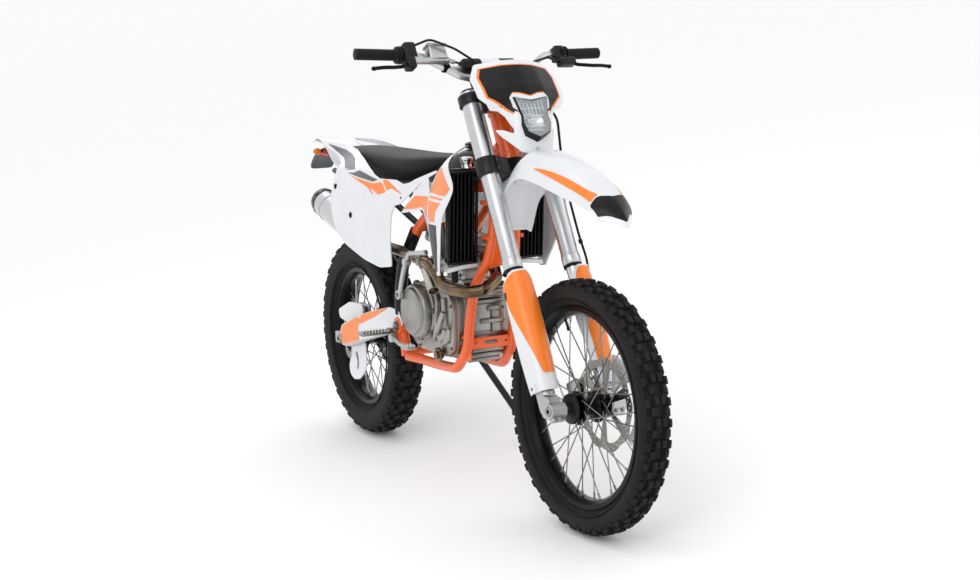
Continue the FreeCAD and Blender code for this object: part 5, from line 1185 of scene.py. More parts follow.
def frame_plates():
    shock_cross = bar("shock_cross", (-102, 96, 770), (102, 96, 770), 12, 28)
    low_cross = bar("low_cross", (-100, 212, 366), (100, 212, 366), 12, 28)
    saddle = block("tank_saddle", (-78, 78), (-104, -86), (884, 918), 4)
    rows = []
    for height, ahead, half in ((936, -318, 17), (900, -316, 27), (850, -312, 33), (800, -305, 37), (750, -294, 40),
            (712, -284, 43), (676, -276, 45)):
        rows.append([Vector((half * s / 4, ahead + 9 * (s / 4) ** 2 - 6, height + (10 * (1 - (s / 4) ** 2)
            if height == 676 else 0))) for s in range(-4, 5)])
    gusset = moulding("gusset", rows, 3.2, levels=2)
    slot = outline_plate("slot", softened([(-11, 812), (9, 826), (7, 792), (-8, 770)], 6), 1, -400, -200)
    cut(gusset, slot)
    plate = block("cross_plate", (-76, 76), (-186, -181), (428, 462), 1.2)
    cut(plate, outline_plate("plate_slot", softened([(-22, 440), (22, 440), (22, 452), (-22, 452)], 5), 1, -200,
        -160), bar("plate_hole", (-50, -200, 446), (-50, -160, 446), 4, 16), bar("plate_hole", (50, -200, 446),
        (50, -160, 446), 4, 16))
    whole = joined("frame_cross_pieces", shock_cross, low_cross, saddle, gusset, plate)
    on_bike(whole, "orange_frame", "frame_cross", finish="orange")


class ENDURO_OT_frame(bpy.types.Operator):
    """Frame tubes, gusset, cross plate and rear frame"""
    bl_idname = "enduro.frame"
    bl_label = "Frame"

    def execute(self, context):
        build_frame()
        return {"FINISHED"}


def engine_cases():
    outline = [(-148, 400), (-156, 440), (-156, 560), (-112, 614), (118, 614), (166, 588), (177, 540), (178, 422),
        (120, 386), (-92, 386)]
    middle = outline_plate("case_middle", softened(outline, 22), 0, -66, 66, 3)
    side = [(-136, 420), (-142, 560), (-104, 602), (110, 602), (158, 580), (168, 540), (168, 430), (112, 396),
        (-92, 396)]
    right = outline_plate("case_right", softened(side, 26), 0, -103, -64, 5)
    left = outline_plate("case_left", softened(side, 26), 0, 64, 103, 5)
    lip = outline_plate("case_lip", softened(scaled(side, 1.02, 1.04, CASE_MIDDLE), 26), 0, -86, -79, 2)
    parts = [middle, right, left, lip]
    for low, high, reach in ((575, 594, -168), (556, 571, -164), (496, 552, -162)):
        parts.append(block("front_rib", (-60, 62), (reach, -140), (low, high), 5, 3))
    parts += [block("front_panel", (-58, 10), (-171, -150), (476, 560), 5, 3), block("front_panel", (14, 52),
        (-168, -150), (470, 548), 5, 3), bar("front_boss", (-26, -174, 508), (50, -174, 508), 8, 24, bevel=2),
        bar("front_boss", (-2, -170, 546), (52, -170, 546), 9, 24, bevel=2), bar("front_roll", (-60, -162, 590),
        (64, -162, 590), 12, 28, bevel=3)]
    for height, ahead, radius in ((422, -158, 9), (404, -148, 8.5), (388, -134, 8)):
        parts.append(bar("lower_rib", (-52, ahead, height), (52, ahead, height), radius, 24, bevel=2))
        parts.append(block("rib_web", (-60, 50), (ahead + 2, -120), (height - 4, height + 4), 2))
    whole = coat("engine", "engine_cases", *parts)
    drain = joined("drain_boss", bar("drain_barrel", (-112, -56, 400), (-46, -56, 400), 17, 32, bevel=2),
        bar("drain_flange", (-118, -56, 400), (-110, -56, 400), 23, 32, bevel=1.5))
    cut(drain, bar("drain_mouth", (-125, -56, 400), (-100, -56, 400), 12, 28))
    coloured(drain, "bronze")
    bolts = [bolt("case_bolt", (sign * 103, *at), X * sign, 4.6, 5) for at in scaled(side, 0.93, 0.92, CASE_MIDDLE)
        for sign in (-1, 1)]
    bolts = coat("steel", "case_bolts", *bolts)
    black = coloured(bar("case_top_bar", (-62, -150, 612), (66, -150, 612), 8, 20, bevel=2), "black_coat")
    on_bike(joined("crankcase_castings", whole, drain, bolts, black), "engine_grey", "crankcase")
    teeth = [polar(26 if i % 4 < 2 else 22, i * math.pi * 2 / 52) for i in range(52)]
    sprocket = outline_plate("drive_sprocket_plate", [(150 + y, 470 + z) for y, z in teeth], 0, 69, 75, 0.4)
    shaft = bar("output_shaft", (66, 150, 470), (80, 150, 470), 11, 24, bevel=1)
    on_bike(joined("front_sprocket", sprocket, shaft), "steel", "drive_sprocket", finish="steel")


def engine_covers():
    def cover(name, profile, steps, at):
        return facing_out(moved(turned(name, profile, steps, closed=False), at))

    def around(middle, reach, first, step, count):
        angles = [math.radians(first + i * step) for i in range(count)]
        return [(middle[0] + reach * math.cos(a), middle[1] + reach * math.sin(a)) for a in angles]

    clutch = cover("clutch_cover", [(-102, 60), (-102, 88), (-108, 89), (-110, 87), (-112, 84), (-132, 83),
        (-137, 80), (-138.6, 76), (-139, 73.5), (-147, 71), (-150, 66), (-150.6, 60), (-150.6, 0.01)], 96,
        (0, 66, 520))
    clutch_bolts = around((66, 520), 87, 20, 51.4, 7)
    bosses = [bar("cover_boss", (-103, *at), (-116, *at), 9, 24, bevel=1.5) for at in clutch_bolts]
    pump = cover("pump_cover", [(-100, 10), (-100, 36), (-106, 37), (-112, 34), (-116, 26), (-124, 23), (-127, 16),
        (-127, 0.01)], 56, (0, -86, 470))
    roll = bar("case_roll", (-108, -98, 492), (-108, -94, 578), 9, 24, bevel=3)
    rib = pipe("case_rib", along([(-106, -30, 598), (-112, -58, 560), (-112, -44, 500), (-106, -20, 440)], 30), 7, 16)
    elbow = pipe("pump_elbow", along([(-118, -86, 470), (-136, -92, 474), (-138, -118, 500), (-128, -132, 540)], 16),
        9, 18)
    ignition = cover("ignition_cover", [(102, 20), (102, 67), (108, 68), (112, 65), (124, 62), (129, 56), (130.5, 40),
        (131, 0.01)], 72, (0, -40, 500))
    guard = outline_plate("sprocket_guard", softened([(96, 430), (96, 510), (150, 524), (186, 500), (190, 440),
        (150, 420)], 16), 0, 92, 97, 1.2)
    cast = coat("engine", "cover_castings", clutch, *bosses, pump, roll, rib, elbow, ignition, guard)
    heads = [bolt("cover_bolt", (-116, *at), -X, 4.6, 5) for at in clutch_bolts]
    heads += [bolt("cover_bolt", (-106, *at), -X, 4, 5) for at in around((-86, 470), 35, 10, 72, 5)]
    heads += [bolt("cover_bolt", (108, *at), X, 4, 5) for at in around((-40, 500), 66, 10, 72, 5)]
    heads = coat("steel", "cover_bolts", *heads)
    on_bike(joined("engine_side_covers", cast, heads), "engine_grey", "engine_covers")


def engine_top_end():
    base = block("cylinder_base", (-58, 58), (-128, 4), (612, 628), 4)
    barrel = block("barrel", (-52, 52), (-122, -2), (624, 662), 8, 3)
    head = block("cylinder_head", (-62, 62), (-134, 8), (660, 722), 8, 3)
    seam = block("head_seam", (-64, 64), (-136, 10), (688, 692), 1)
    cover = block("head_cover", (-58, 58), (-128, 2), (718, 758), 14, 4)
    cam = bar("cam_end", (-66, -96, 716), (-54, -96, 716), 18, 32, bevel=2)
    cam_twin = bar("cam_end", (-66, -30, 716), (-54, -30, 716), 18, 32, bevel=2)
    port = bar("port", (0, -120, 704), (0, -163, 691), 25, 36, bevel=2)
    cast = coat("cast", "top_end_castings", base, barrel, head, seam, cover, cam, cam_twin, port)
    heads = [bolt("cover_bolt", (side * 48, y, 758), Z, 5, 5) for side in (-1, 1) for y in (-112, -14)]
    heads += [bolt("barrel_nut", (side * 54, y, 640), X * side, 5, 4) for side in (-1, 1) for y in (-100, -20)]
    heads = coat("steel", "top_end_bolts", *heads)
    intake = bar("intake_boot", (0, 4, 700), (0, 60, 720), 27, 36, bevel=4)
    body = bar("throttle_body", (0, 56, 719), (0, 112, 738), 30, 36, bevel=4)
    dark = coat("rubber", "intake", intake, body)
    on_bike(joined("cylinder_and_head", cast, heads, dark), "engine_grey", "cylinder")


def engine_kickstart():
    boss = bar("kick_boss", (-151, 116, 567), (-167, 116, 567), 15, 28, bevel=2)
    shaft = bar("kick_shaft", (-104, 116, 567), (-160, 116, 567), 10, 24)
    arm = pipe("kick_arm", along([(-158, 114, 566), (-162, 88, 610), (-173, 40, 655), (-176, 12, 684)], 16), 8.2, 18)
    joint = bar("kick_joint", (-165, 14, 680), (-187, 14, 680), 12, 24, bevel=2)
    foot = pipe("kick_foot", along([(-177, 16, 680), (-177, -8, 708), (-178, -124, 722)], 14), 7.2, 18)
    end = bar("kick_end", (-178, -118, 721), (-178, -134, 723), 8.6, 24, bevel=2)
    whole = coat("cast", "kickstart", boss, shaft, arm, joint, foot, end)
    nut = coloured(bolt("kick_bolt", (-167, 116, 567), -X, 6, 5), "steel")
    on_bike(joined("kickstart", whole, nut), "lever_silver", "kickstart_lever")


class ENDURO_OT_engine(bpy.types.Operator):
    """Crankcase, covers, cylinder and kickstart of the engine"""
    bl_idname = "enduro.engine"
    bl_label = "Engine"

    def execute(self, context):
        engine_cases()
        engine_covers()
        engine_top_end()
        engine_kickstart()
        return {"FINISHED"}


def build_exhaust():
    header = pipe("header", along([(0, -162, 692), (-4, -230, 674), (-30, -297, 652), (-84, -322, 625),
        (-121, -298, 619), (-141, -240, 619), (-142, -165, 624), (-142, -130, 652), (-143, -90, 679),
        (-143, -35, 686), (-143, 120, 700), (-141, 300, 704), (-136, 376, 694), (-136, 424, 708)], 34), 17.4, 28)
    coloured(header, "bronze")
    flange = bar("port_flange", (0, -158, 692), (0, -166, 690), 32, 6, bevel=3)
    joint = joined("pipe_joint", bar("clamp", (-143, -40, 685.5), (-143, -16, 688), 21.5, 36, bevel=3),
        bar("clamp_lug", (-152, -28, 666), (-128, -28, 666), 5, 16))
    weld = bar("pipe_weld", (-143, -84, 680), (-143, -80, 680.4), 18.6, 36)
    dark = coat("steel", "pipe_fittings", flange, joint, weld)
    stub = bar("pipe_stub", (-134, -34, 664), (-148, -112, 604), 17, 36)
    cut(stub, bar("stub_bore", (-143, -84, 625.5), (-149, -118, 599.4), 14.5, 32))
    coloured(stub, "stainless")
    on_bike(joined("exhaust_header_pipe", header, dark, stub), "stainless", "exhaust_header")

    start, end = Vector((-136, 424, 708)), Vector((-136, 800, 815))
    run = (end - start).normalized()
    length = (end - start).length
    lay = Matrix.Translation(start) @ run.to_track_quat("X", "Z").to_matrix().to_4x4()
    can = turned("silencer_can", [(0, 17), (0, 22), (34, 46.5), (40, 47), (length - 46, 47), (length - 46, 40),
        (40, 30)], 72)
    cap = turned("silencer_cap", [(length - 47, 30), (length - 47, 48), (length - 40, 48.6), (length - 14, 44),
        (length, 34), (length, 17), (length - 60, 17), (length - 60, 30)], 72)
    bands = [turned("silencer_band", [(place, 46.5), (place, 48.6), (place + 16, 48.6), (place + 16, 46.5)], 64)
        for place in (66, length - 96)]
    rivets = ringed(bolt("rivet", (length - 42, 0, 48), Z, 3, 2), 12)
    body = coat("silver", "can", can, *bands)
    body = joined("silencer_body", body, coloured(cap, "black_metal"), coloured(rivets, "steel"))
    body.data.transform(lay)
    bracket = block("silencer_bracket", (-97, -77), (641, 653), (766, 862), 3)
    coloured(bracket, "black_coat")
    on_bike(joined("silencer_assembly", body, bracket), "silencer_alloy", "silencer")


class ENDURO_OT_exhaust(bpy.types.Operator):
    """Header pipe with its clamp and stub, and the silencer"""
    bl_idname = "enduro.exhaust"
    bl_label = "Exhaust"

    def execute(self, context):
        build_exhaust()
        return {"FINISHED"}


def cooling_radiators():
    inner, width = 62, 92
    outer = inner + width
    core = block("core", (inner + 3, outer - 3), (17, 35), (10, 254), 1)
    top_tank = block("top_tank", (inner, outer), (13, 39), (246, 272), 6, 3)
    low_tank = block("low_tank", (inner, outer), (13, 39), (-4, 16), 6, 3)
    fins = [block("fin_row", (inner + 4, outer - 4), (15.5, 36.5), (z, z + 1.2), 0) for z in range(22, 244, 9)]
    louvres = []
    for i in range(8):
        slat = block("slat", (-1.5, 1.5), (-7, 7), (4, 262), 1)
        slat.data.transform(Matrix.Translation(Vector((inner + 3 + i * (width - 6) / 7, 7.5, 0)))
            @ Matrix.Rotation(math.radians(14), 4, "Z"))
        louvres.append(slat)
    wires = [block("wire", (inner, outer), (9, 12), (z, z + 2.4), 0.8) for z in (38, 66, 150, 168, 232)]
    rim = [block("louvre_rim", (inner, inner + 4), (1, 15), (-4, 266), 1.2), block("louvre_rim", (outer - 4, outer),
        (1, 15), (-4, 266), 1.2), block("louvre_rim", (inner, outer), (1, 15), (262, 268), 1.2),
        block("louvre_rim", (inner, outer), (1, 15), (-4, 3), 1.2)]
    dark = coat("black_plastic", "louvres", *louvres, *wires, *rim)
    metal = coat("black_metal", "radiator_core", core, top_tank, low_tank, *fins)
    lip = outline_plate("radiator_lip", softened([(60, -16), (60, -6), (110, -8), (outer, -14), (outer + 4, -28),
        (110, -20)], 5), 1, 2, 30, 1.5)
    coloured(lip, "white")
    stay = bar("radiator_bolt_boss", (56, 0, 22), (56, 16, 22), 8, 28, bevel=2)
    coloured(stay, "rubber")
    screw = coloured(bolt("radiator_bolt", (56, 0, 22), -Y, 5, 4), "steel")
    one = joined("one_radiator", metal, dark, lip, stay, screw)
    lean = Matrix.Translation(Vector((0, -240, 697))) @ Matrix.Rotation(math.radians(6), 4, "X")
    one.data.transform(lean)
    pair = both_sides("radiator_pair", one)
    neck = turned("filler_neck", [(-12, 10), (-12, 15), (0, 15), (2, 19), (6, 19), (8, 15), (8, 10)], 32)
    cap = turned("filler_cap", [(7, 0.01), (7, 19), (9, 21), (15, 21), (17, 17), (19, 8), (19, 0.01)], 40,
        closed=False)
    ears = block("cap_ear", (10, 16), (-22, 22), (-6, 6), 2)
    filler = joined("filler", neck, facing_out(cap), ears)
    moved(filler, (-80, -227, 984), -90, "Y")
    coloured(filler, "chrome")
    neck_base = bar("neck_base", (-80, -236, 955), (-80, -227, 978), 15, 28, bevel=2)
    filler = joined("filler", filler, coloured(neck_base, "chrome"))
    hose = pipe("coolant_hose", along([(-84, -226, 950), (-74, -200, 958), (-66, -186, 940), (-66, -180, 900)], 24),
        9, 20)
    low_hoses = [pipe("low_hose", along([(side * 92, -206, 706), (side * 92, -172, 690), (side * 90, -140, 656),
        (side * 84, -128, 628)], 24), 10, 20) for side in (-1, 1)]
    rubber = coat("rubber", "hoses", hose, *low_hoses)
    on_bike(joined("radiators_and_hoses", pair, filler, rubber), "radiator_black", "radiators")


def cooling_shrouds():
    edges = (((60, -212, 1031), (64, -186, 1026)), ((110, -214, 1008), (102, -168, 1003)),
        ((150, -256, 983), (134, -168, 976)), ((166, -311, 956), (148, -160, 952)),
        ((185, -376, 925), (160, -146, 912)), ((193, -346, 882), (166, -118, 880)),
        ((200, -316, 843), (172, -106, 851)), ((197, -296, 800), (178, -150, 811)),
        ((188, -272, 730), (178, -170, 749)), ((179, -244, 690), (173, -176, 690)),
        ((173, -234, 664), (168, -190, 660)))
    rows = []
    for front, rear in edges:
        front, rear = Vector(front) + Vector((3, 13, 0)), Vector(rear)
        row = [front + Vector((-6, 7, -1)), front + Vector((-3, 1.5, 0))]
        for step in range(7):
            place = front.lerp(rear, 0.03 + 0.97 * step / 6)
            row.append(place + Vector((5 * math.sin(math.pi * step / 6), 0, 0)))
        rows.append(row)
    shell = moulding("shroud_shell", rows, 3, 1.0, levels=2)
    facing_out(shell)
    wing_outline = [(-150, 942), (-120, 936), (-46, 898), (40, 842), (70, 824), (40, 826), (-40, 838), (-104, 846),
        (-160, 806), (-176, 818)]

    def wing_depth(y, z):
        return 169 + (y + 100) * -0.05 + (850 - z) * 0.05
    wing = laid_panel("shroud_wing", wing_outline, wing_depth, 3, 14, 8)
    body = rounded(joined("shroud", shell, wing), 0.5, 1, 70)
    coloured(body, "white")
    films = (("orange_film", [(-170, 968), (-214, 972), (-330, 920), (-304, 899), (-160, 900), (-164, 930)]),
        ("orange_film", [(-162, 893), (-290, 892), (-280, 886), (-162, 886)]), ("orange_film",
        [(-166, 879), (-276, 878), (-246, 851), (-241, 822), (-186, 820)]), ("black_film",
        [(-178, 812), (-256, 814), (-246, 753), (-214, 674), (-194, 672), (-182, 742)]),
        ("orange_film", [(50, 836), (-48, 884), (-146, 888), (-160, 876), (-168, 826), (-104, 854), (-40, 844)]))
    laid = side_films("shroud_film", body, films)
    screws = [bolt("shroud_screw", place, X, 5, 2.4) for place in ((174, -180, 686), (166, -150, 922))]
    screws = coat("steel", "shroud_screws", *screws)
    duct = laid_panel("tank_side_cover", [(-160, 800), (-100, 842), (-40, 836), (-60, 780), (-110, 700), (-150, 690)],
        lambda y, z: 128 + (z - 800) * 0.12, 3, 18, 12)
    coloured(duct, "black_plastic")
    settle(both_sides("radiator_shrouds", joined("shroud_side", body, screws, duct, *laid)), BIKE, "chassis",
        "white_plastic", "shrouds")


class ENDURO_OT_cooling(bpy.types.Operator):
    """Both radiators with their louvres, and the shrouds around them"""
    bl_idname = "enduro.cooling"
    bl_label = "Radiators and shrouds"

    def execute(self, context):
        cooling_radiators()
        cooling_shrouds()
        return {"FINISHED"}


def build_seat_and_tank():
    stations = ((-46, 40, 976, 990), (-10, 52, 962, 993), (62, 74, 936, 993), (130, 90, 912, 992),
        (200, 100, 896, 990), (280, 102, 893, 990), (380, 99, 893, 992), (460, 95, 896, 994), (580, 88, 904, 996),
        (700, 78, 915, 996), (790, 62, 926, 990), (838, 44, 938, 980))
    cover = coloured(lofted("seat_cover", squared_rings(stations, 20, (0.55, 0.5), 0.14), 2), "seat")
    on_bike(cover, "seat_cover", "seat", smooth=60)

    stations = ((-208, 40, 968, 1010), (-180, 50, 950, 1018), (-130, 58, 925, 1022), (-80, 62, 900, 1010),
        (-52, 62, 890, 985), (0, 62, 880, 950), (56, 58, 868, 930))
    tank = coloured(lofted("fuel_tank_shell", squared_rings(stations, 16, (0.7, 0.7)), 2), "black_plastic")
    cap = turned("fuel_cap", [(0, 0.01), (0, 30), (4, 32), (14, 31), (18, 26), (20, 12), (20, 0.01)], 48,
        closed=False)
    grip = ringed(bar("cap_grip", (2, 0, 31), (15, 0, 30), 3, 10), 16)
    cap = joined("fuel_cap", facing_out(cap), grip)
    moved(cap, (0, -132, 1018), -90, "Y")
    coloured(cap, "black_plastic")
    on_bike(joined("fuel_tank_and_cap", tank, cap), "tank_plastic", "fuel_tank")


class ENDURO_OT_seat_and_tank(bpy.types.Operator):
    """Seat and fuel tank"""
    bl_idname = "enduro.seat_and_tank"
    bl_label = "Seat and tank"

    def execute(self, context):
        build_seat_and_tank()
        return {"FINISHED"}


def squared_rings(stations, count, power, taper=0.0):
    """Rings of points round a body between squares and ovals, narrower towards the top by the taper."""
    rings = []
    for y, half, low, high in stations:
        middle, rise = (low + high) / 2, (high - low) / 2
        ring = []
        for step in range(count):
            c, s = polar(1, 2 * math.pi * step / count)
            widen = 1 - taper * max(0.0, s)
            ring.append(Vector((half * widen * math.copysign(abs(c) ** power[0], c), y,
                middle + rise * math.copysign(abs(s) ** power[1], s))))
        rings.append(ring)
    return rings


def side_depth(y, z):
    """Distance of the side panel from the middle of the bike: a surface curved both ways."""
    a, b = y / 1000, z / 1000
    tuck = 0.85 * max(0.0, z - 930) * min(1.0, max(0.0, (850 - y) / 250))
    return -393.9 + 268.3 * a + 1423.5 * b - 144.2 * a ** 2 - 194.6 * a * b - 901 * b ** 2 - tuck


def rear_side_panels():
    rear = [(585, 986), (450, 966), (300, 938), (176, 911), (142, 880), (84, 848), (107, 819), (113, 776), (134, 676),
        (142, 652), (223, 642), (321, 658), (461, 697), (542, 741), (581, 787), (607, 840), (605, 888), (603, 923),
        (618, 947), (719, 971), (851, 989), (960, 1000), (960, 1008), (850, 1006), (700, 1002)]
    panel = laid_panel("side_panel_rear", rear, side_depth, 3, 16, 10)
    front = [(240, 920), (160, 921), (100, 922), (48, 912), (9, 918), (-93, 958), (-104, 950), (-34, 904), (50, 853),
        (80, 846), (140, 872), (178, 905)]
    cover = laid_panel("side_panel_front", front, lambda y, z: side_depth(y, z) + 1.6, 3, 14, 8)
    body = coat("white", "side_panel", panel, cover)
    films = (("grey_film", [(842, 1000), (750, 981), (636, 962), (520, 931), (436, 936), (535, 965), (675, 986)]),
        ("grey_film", [(492, 924), (432, 926), (395, 936), (310, 926), (224, 916), (254, 908), (373, 915)]),
        ("orange_film", [(472, 919), (400, 908), (290, 888), (240, 866), (268, 890), (206, 871), (152, 882),
        (190, 911), (252, 903), (354, 909)]), ("orange_film", [(194, 925), (174, 926), (99, 902), (42, 881),
        (118, 895), (147, 887)]))
    laid = side_films("panel_film", body, films)
    screws = []
    for y, z in ((404, 794), (573, 874)):
        x = side_depth(y, z)
        screws.append(bar("screw_collar", (x + 0.5, y, z), (x + 3.6, y, z), 10, 32, bevel=1))
        screws.append(bolt("panel_screw", (x + 3.2, y, z), X, 5.5, 3))
    x = side_depth(50, 870)
    screws.append(bar("panel_hole", (x + 1, 50, 870), (x + 3.6, 50, 870), 4.5, 20))
    dark = coat("black_metal", "panel_screws", *screws)
    settle(both_sides("side_panel_pair", joined("side_panel", body, dark, *laid)), BIKE, "chassis", "white_plastic",
        "side_panels")


def rear_fender():
    rows = []
    for y, half, top, drop in ((520, 100, 905, 34), (600, 98, 920, 33), (700, 94, 938, 31), (790, 88, 957, 26),
            (846, 82, 976, 20), (886, 76, 994, 14), (940, 68, 1003, 11), (983, 62, 1008, 10), (1040, 54, 1010, 10),
            (1090, 47, 1007, 10), (1122, 41, 1002, 9), (1136, 34, 997, 8)):
        rows.append([Vector((half * s / 8, y - 10 * (s / 8) ** 2 * (1 if y > 1080 else 0),
            top - drop * abs(s / 8) ** 2.4 + 5 * max(0, 1 - abs(abs(s / 8) - 0.55) / 0.25))) for s in range(-8, 9)])
    shell = moulding("rear_fender_shell", rows, 3, levels=2)
    facing_out(shell)
    rounded(shell, 0.6, 1, 60)
    coloured(shell, "white")
    tail = [(34, 1112), (52, 1040), (66, 952), (60, 946), (44, 1036), (24, 1112)]
    films = [coloured(decal("tail_film", shell, [(sign * x, y) for x, y in tail], 2, 1200, 0.35, 5), "grey_film")
        for sign in (-1, 1)]
    heads = [bolt("tail_bolt", (x, y, z), Z, 5, 2.4) for x in (-34, 34) for y, z in ((930, 990), (1010, 1002))]
    heads = coat("black_metal", "tail_bolts", *heads)
    stations = [(y, half, z - 8, z + 8) for y, z, half in ((470, 868, 70), (600, 890, 74), (720, 908, 70),
        (840, 930, 60), (960, 960, 48), (1020, 972, 40))]
    under = lofted("inner_fender", squared_rings(stations, 12, (0.6, 1)))
    coloured(under, "black_plastic")
    on_bike(joined("rear_fender_moulding", shell, heads, under, *films), "white_plastic", "rear_fender")


def rear_lamp():
    stations = ((1030, 30, 954, 978), (1050, 36, 945, 979), (1080, 36, 938, 974), (1098, 30, 936, 964))
    body = lofted("tail_lamp_body", squared_rings(stations, 12, (1, 1)))
    coloured(body, "red_lens")
    flap = moulding("licence_flap", [[Vector((x, y, z)) for x in (-44, -22, 0, 22, 44)]
        for y, z in ((1040, 972), (1090, 950), (1130, 918), (1142, 896))], 2.5, levels=1)
    coloured(facing_out(flap), "grey_film")
    amber = [ball("amber_lamp", (side * 50, 1046, 962), 15) for side in (-1, 1)]
    stems = [bar("amber_stem", (side * 30, 1048, 962), (side * 46, 1046, 962), 6, 16) for side in (-1, 1)]
    amber = coat("amber_lens", "amber_lamps", *amber)
    stems = coat("black_plastic", "amber_stems", *stems)
    on_bike(joined("tail_lamp_and_flap", body, flap, amber, stems), "red_lens", "tail_lamp")


class ENDURO_OT_rear_bodywork(bpy.types.Operator):
    """Side panels, rear fender and tail lamp"""
    bl_idname = "enduro.rear_bodywork"
    bl_label = "Rear bodywork"

    def execute(self, context):
        rear_side_panels()
        rear_fender()
        rear_lamp()
        return {"FINISHED"}


def drive_swingarm():
    rings = []
    for y, inner, outer, low, high in ((250, 54, 80, 426, 476), (300, 58, 86, 418, 476), (350, 74, 100, 404, 472),
            (400, 85, 111, 390, 464), (500, 86, 112, 366, 436), (600, 86, 112, 338, 402), (680, 86, 112, 314, 370),
            (740, 86, 112, 308, 366), (778, 88, 110, 316, 360)):
        corner = 9
        rings.append([Vector((x, y, z)) for x, z in ((inner + corner, low), (outer - corner, low),
            (outer - 1, low + corner), (outer, (low + high) / 2), (outer - 1, high - corner), (outer - corner, high),
            (inner + corner, high), (inner, high - corner), (inner, (low + high) / 2), (inner, low + corner))])
    arm = lofted("arm", rings, 1)
    arms = both_sides("arms", arm)
    barrel = bar("pivot_barrel", PIVOT - X * 82, PIVOT + X * 82, 25, 40, bevel=2)
    bridge = block("bridge", (-88, 88), (302, 354), (410, 454), 10, 3)
    adjusters = [block("adjuster", x, (742, 792), (318, 358), 4) for x in ((-114, -82), (82, 114))]
    cast = coat("cast", "swingarm_castings", arms, barrel, bridge, *adjusters)
    cover_outline = [(196, 462), (226, 500), (293, 502), (395, 482), (501, 457), (611, 424), (716, 388), (733, 360),
        (714, 318), (570, 354), (433, 388), (263, 440), (214, 444)]
    cover = laid_panel("swingarm_cover", cover_outline, lambda y, z: 117, 3, 18, 8)
    coloured(cover, "white")
    films = (("orange_film", [(540, 446), (611, 422), (712, 386), (728, 360), (709, 322), (560, 358), (566, 400)]),
        ("orange_film", [(302, 499), (366, 487), (500, 456), (536, 444), (560, 410), (425, 452)]))
    cover = joined("arm_cover", cover, *side_films("arm_film", cover, films, 4, 300, 4))
    covers = both_sides("arm_covers", cover)
    guide = block("chain_guide", (64, 82), (610, 660), (216, 300), 6)
    cut(guide, block("guide_slot", (67, 79), (600, 670), (222, 292)))
    slider = block("chain_slider", (63, 81), (300, 420), (470, 480), 3)
    black = coat("black_plastic", "chain_guides", guide, slider)
    fin = laid_panel("disc_fin", [(722, 318), (590, 344), (586, 268), (606, 236), (652, 206), (700, 198), (736, 212),
        (742, 245), (704, 296)], lambda y, z: 84, 4, 14, 14)
    cut(fin, outline_plate("fin_slot", softened([(664, 300), (650, 262), (664, 236), (676, 240), (668, 264),
        (684, 296)], 4), 0, 70, 100))
    guard = laid_panel("caliper_guard", [(814, 428), (710, 466), (600, 472), (590, 440), (646, 412), (740, 392),
        (806, 400)], lambda y, z: 86, 4, 14, 12)
    near_side = joined("disc_fin", fin, guard)
    fin = coloured(flipped(near_side, "lower_disc_fin"), "white")
    dropped(near_side)
    on_bike(joined("swingarm_and_covers", cast, covers, black, fin), "cast_silver", "swingarm")
    bolt_bar = bar("pivot_bolt", PIVOT - X * 126, PIVOT + X * 126, 8.8, 24)
    heads = joined("pivot_heads", *[bolt("pivot_head", PIVOT + side * 124, side, 13, 8) for side in (-X, X)])
    on_bike(joined("swingarm_pivot", bolt_bar, heads), "black_metal", "swingarm_bolt", finish="steel")
    axle = turned("rear_axle_bar", [(-124, 7.5), (-124, 14), (-118, 17), (-114, 17), (-114, 11.9), (114, 11.9),
        (120, 11.5), (120, 7.5)], 40)
    nut = outline_plate("rear_axle_nut", hexagon(17), 0, 114, 124, 1.2)
    cut(nut, bar("nut_bore", (100, 0, 0), (130, 0, 0), 9.5, 24))
    axle = joined("rear_axle_bar", axle, nut)
    axle.data.transform(Matrix.Translation(REAR_AXLE))
    on_bike(axle, "steel", "rear_axle", finish="steel")


def drive_shock():
    low, high = Vector((0, 252, 511)), Vector((0, 102.6, 759))
    run = (high - low).normalized()
    lay = Matrix.Translation(low) @ run.to_track_quat("X", "Y").to_matrix().to_4x4()
    length = (high - low).length
    body = turned("shock_body", [(0, 0.01), (0, 16), (16, 18), (20, 29), (28, 30), (30, 19), (length - 70, 19),
        (length - 66, 27), (length - 20, 27), (length - 14, 20), (length, 16), (length, 0.01)], 40, closed=False)
    facing_out(body)
    turns, steps = 7, 20
    points = [Vector((30 + (length - 100) * i / (turns * steps), 25 * math.cos(2 * math.pi * i / steps),
        25 * math.sin(2 * math.pi * i / steps))) for i in range(turns * steps + 1)]
    spring = pipe("spring", points[::2], 4.6, 12)
    reservoir = bar("shock_reservoir", (length - 60, 34, 26), (length - 8, 34, 26), 19, 32, bevel=3)
    whole = joined("shock", coloured(body, "silver"), coloured(spring, "spring"), coloured(reservoir, "silver"))
    whole.data.transform(lay)
    on_bike(whole, "shock_metal", "shock_absorber")


